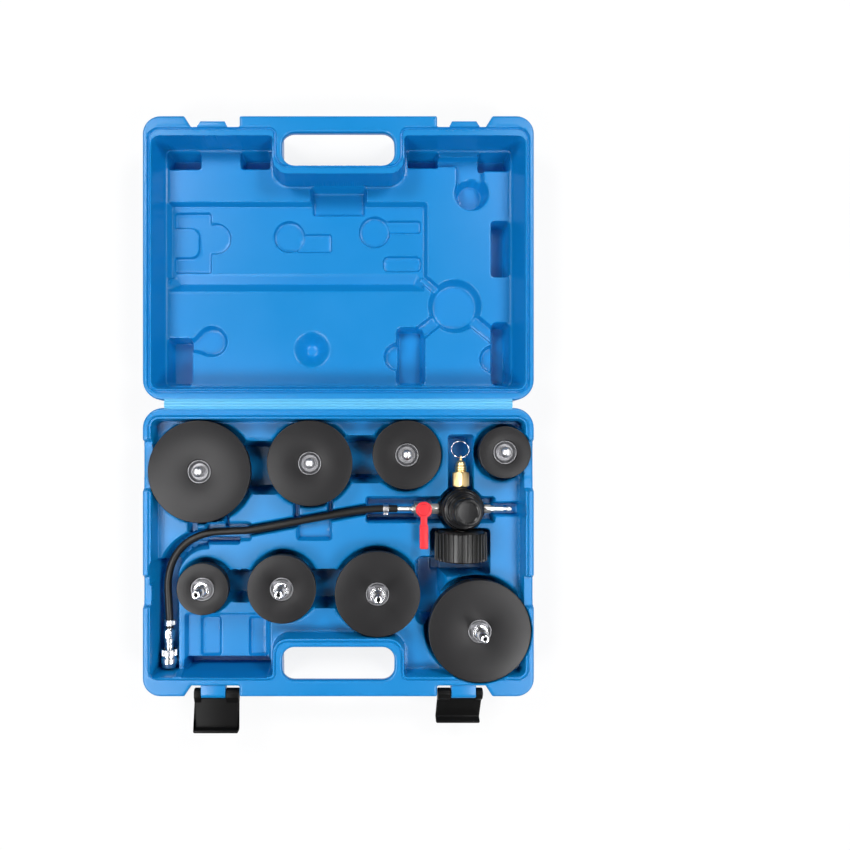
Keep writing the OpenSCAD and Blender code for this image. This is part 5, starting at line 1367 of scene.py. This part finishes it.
for text, below in (("bar", 9.3), ("psi", 14.7)):
    spot = Matrix.Translation((reg_x / 1000, ink / 1000, (pipe - below) / 1000))
    words(printing, text, 2.2, spot @ facing)
finished("dial_print", printing, black_ink, "tester", (), ink_merge)
blue_from, red_from = 107.0, 87.0
around = np.linspace(zero_at - 1.5, red_from, 80)
mesh = bmesh.new()
narrow = np.clip((around - red_from) / (blue_from - red_from), 0.02, 1)
arc_strip(mesh, around, [arc_low] * 80, arc_low + (arc_high - arc_low) * narrow)
finished("dial_blue_arc", mesh, blue_ink, "tester", (), ink_merge)
around = np.linspace(blue_from, scale_end - 9, 90)
mesh = bmesh.new()
narrow = np.clip((around - red_from) / (blue_from - red_from), 0, 0.98)
arc_strip(mesh, around, arc_low + 0.02 + (arc_high - arc_low) * narrow, [arc_high] * 90)
finished("dial_red_arc", mesh, red_ink, "tester", (), ink_merge)

# Dial screws
# Two small domed screws with crossed slots, which hold the dial to the movement.
screw_steel = moulded("screw_steel", (0.58, 0.57, 0.55), 0.25, 0.05, 0.0005, metallic=1.0)
screws_low, screws_high = corner_of("dial_screws")
screw_round = (screws_high[2] - screws_low[2]) / 2
screw_z = (screws_low[2] + screws_high[2]) / 2
rings, sides = 14, 48
slot_half, slot_reach, slot_soft, slot_deep = 0.34, 1.15, 0.12, 0.4
mesh = bmesh.new()
for x in (screws_low[0] + screw_round, screws_high[0] - screw_round):
    rows = []
    for i in range(rings + 1):
        r = screw_round * (1 - i / rings)
        row = []
        for k in range(sides):
            a = 2 * math.pi * k / sides
            u, v = r * math.cos(a), r * math.sin(a)
            across = min(abs(u + v), abs(u - v)) * 0.71
            pit = (np.clip((slot_half - across) / slot_soft, 0, 1)
                   * np.clip((slot_reach - r) / slot_soft, 0, 1))
            dome = 0.25 + 0.55 * math.sqrt(max(0, 1 - (r / screw_round) ** 2))
            out = dome - slot_deep * pit if i else 0
            row.append(mesh.verts.new(((x + u) / 1000, (screws_high[1] - out) / 1000,
                                       (screw_z + v) / 1000)))
        rows.append(row)
    skirt(mesh, rows)
    mesh.faces.new(rows[0])
finished("dial_screws_domed", mesh, screw_steel, "tester", ["dial_screws"])

# Gauge needle
# Black stamped needle with a fan-shaped tail, pressed on its arbor under a bright cap.
needle_black = moulded("needle_black", (0.012, 0.011, 0.010), 0.35, 0.04, 0.0005)
needle_turn = Matrix.Rotation(-math.radians(zero_at), 4, "Y")
needle_front = corner_of("gauge_needle")[0][1]
needle_at = Matrix.Translation((reg_x, needle_front + 0.35, pipe)) @ needle_turn
fan = [(-7.8 * math.cos(a), 7.8 * math.sin(a), 0.3) for a in (0.30, 0.15, 0, -0.15, -0.30)]
needle_line = rounded([(14.5, 0.06, 0), (2.2, 0.85, 0.5), (-3.2, 0.75, 1.2), *fan, (-3.2, -0.75, 1.2),
                       (2.2, -0.85, 0.5), (14.5, -0.06, 0)], 4)
mesh = bmesh.new()
bar(mesh, needle_line, 0.1, 0.45, 0.05, needle_at @ side_on)
hub = along_y(needle_front)
turned(mesh, [(0, 0.1, 0), (2.5, 0.1, 0.2), (2.5, 1.0, 0.1), (0.8, 1.0, 0), (0.8, 12, 0), (0, 12, 0)],
       hub, 48)
finished("gauge_needle_stamped", mesh, needle_black, "needle", ["gauge_needle"])
mesh = bmesh.new()
turned(mesh, [(0, -0.45, 0), (0.35, -0.42, 0.1), (0.45, -0.3, 0.1), (1.5, -0.3, 0.3), (2.1, 0.1, 0.2),
              (2.1, 0.3, 0), (0, 0.3, 0)], hub, 48)
finished("gauge_needle_cap", mesh, gauge_steel, "needle", ())

# Gauge lens
# Clear moulded lens, held by the boot's lip.
lens_clear, tree, skin = new_finish("lens_clear", 0.5, 0.0)
skin.inputs["Base Color"].default_value = (0.97, 0.98, 1.0, 1)
skin.inputs["Transmission Weight"].default_value = 1.0
skin.inputs["IOR"].default_value = 1.12
place = wired(tree, "ShaderNodeTexCoord").outputs["Object"]
haze = wired(tree, "ShaderNodeTexNoise", {"Scale": 160, "Vector": place})
wipe = wired(tree, "ShaderNodeMapRange", {"To Min": 0.0, "To Max": 0.05, "Value": haze.outputs["Fac"]})
tree.links.new(wipe.outputs["Result"], skin.inputs["Roughness"])
lens_front = corner_of("gauge_lens")[0][1]
turned_piece("gauge_lens_clear", [(0, 0, 0), (18.8, 0, 0.3), (18.8, 1.4, 0.3), (0, 1.4, 0)],
             along_y(lens_front), 96, lens_clear, "tester", "gauge_lens")
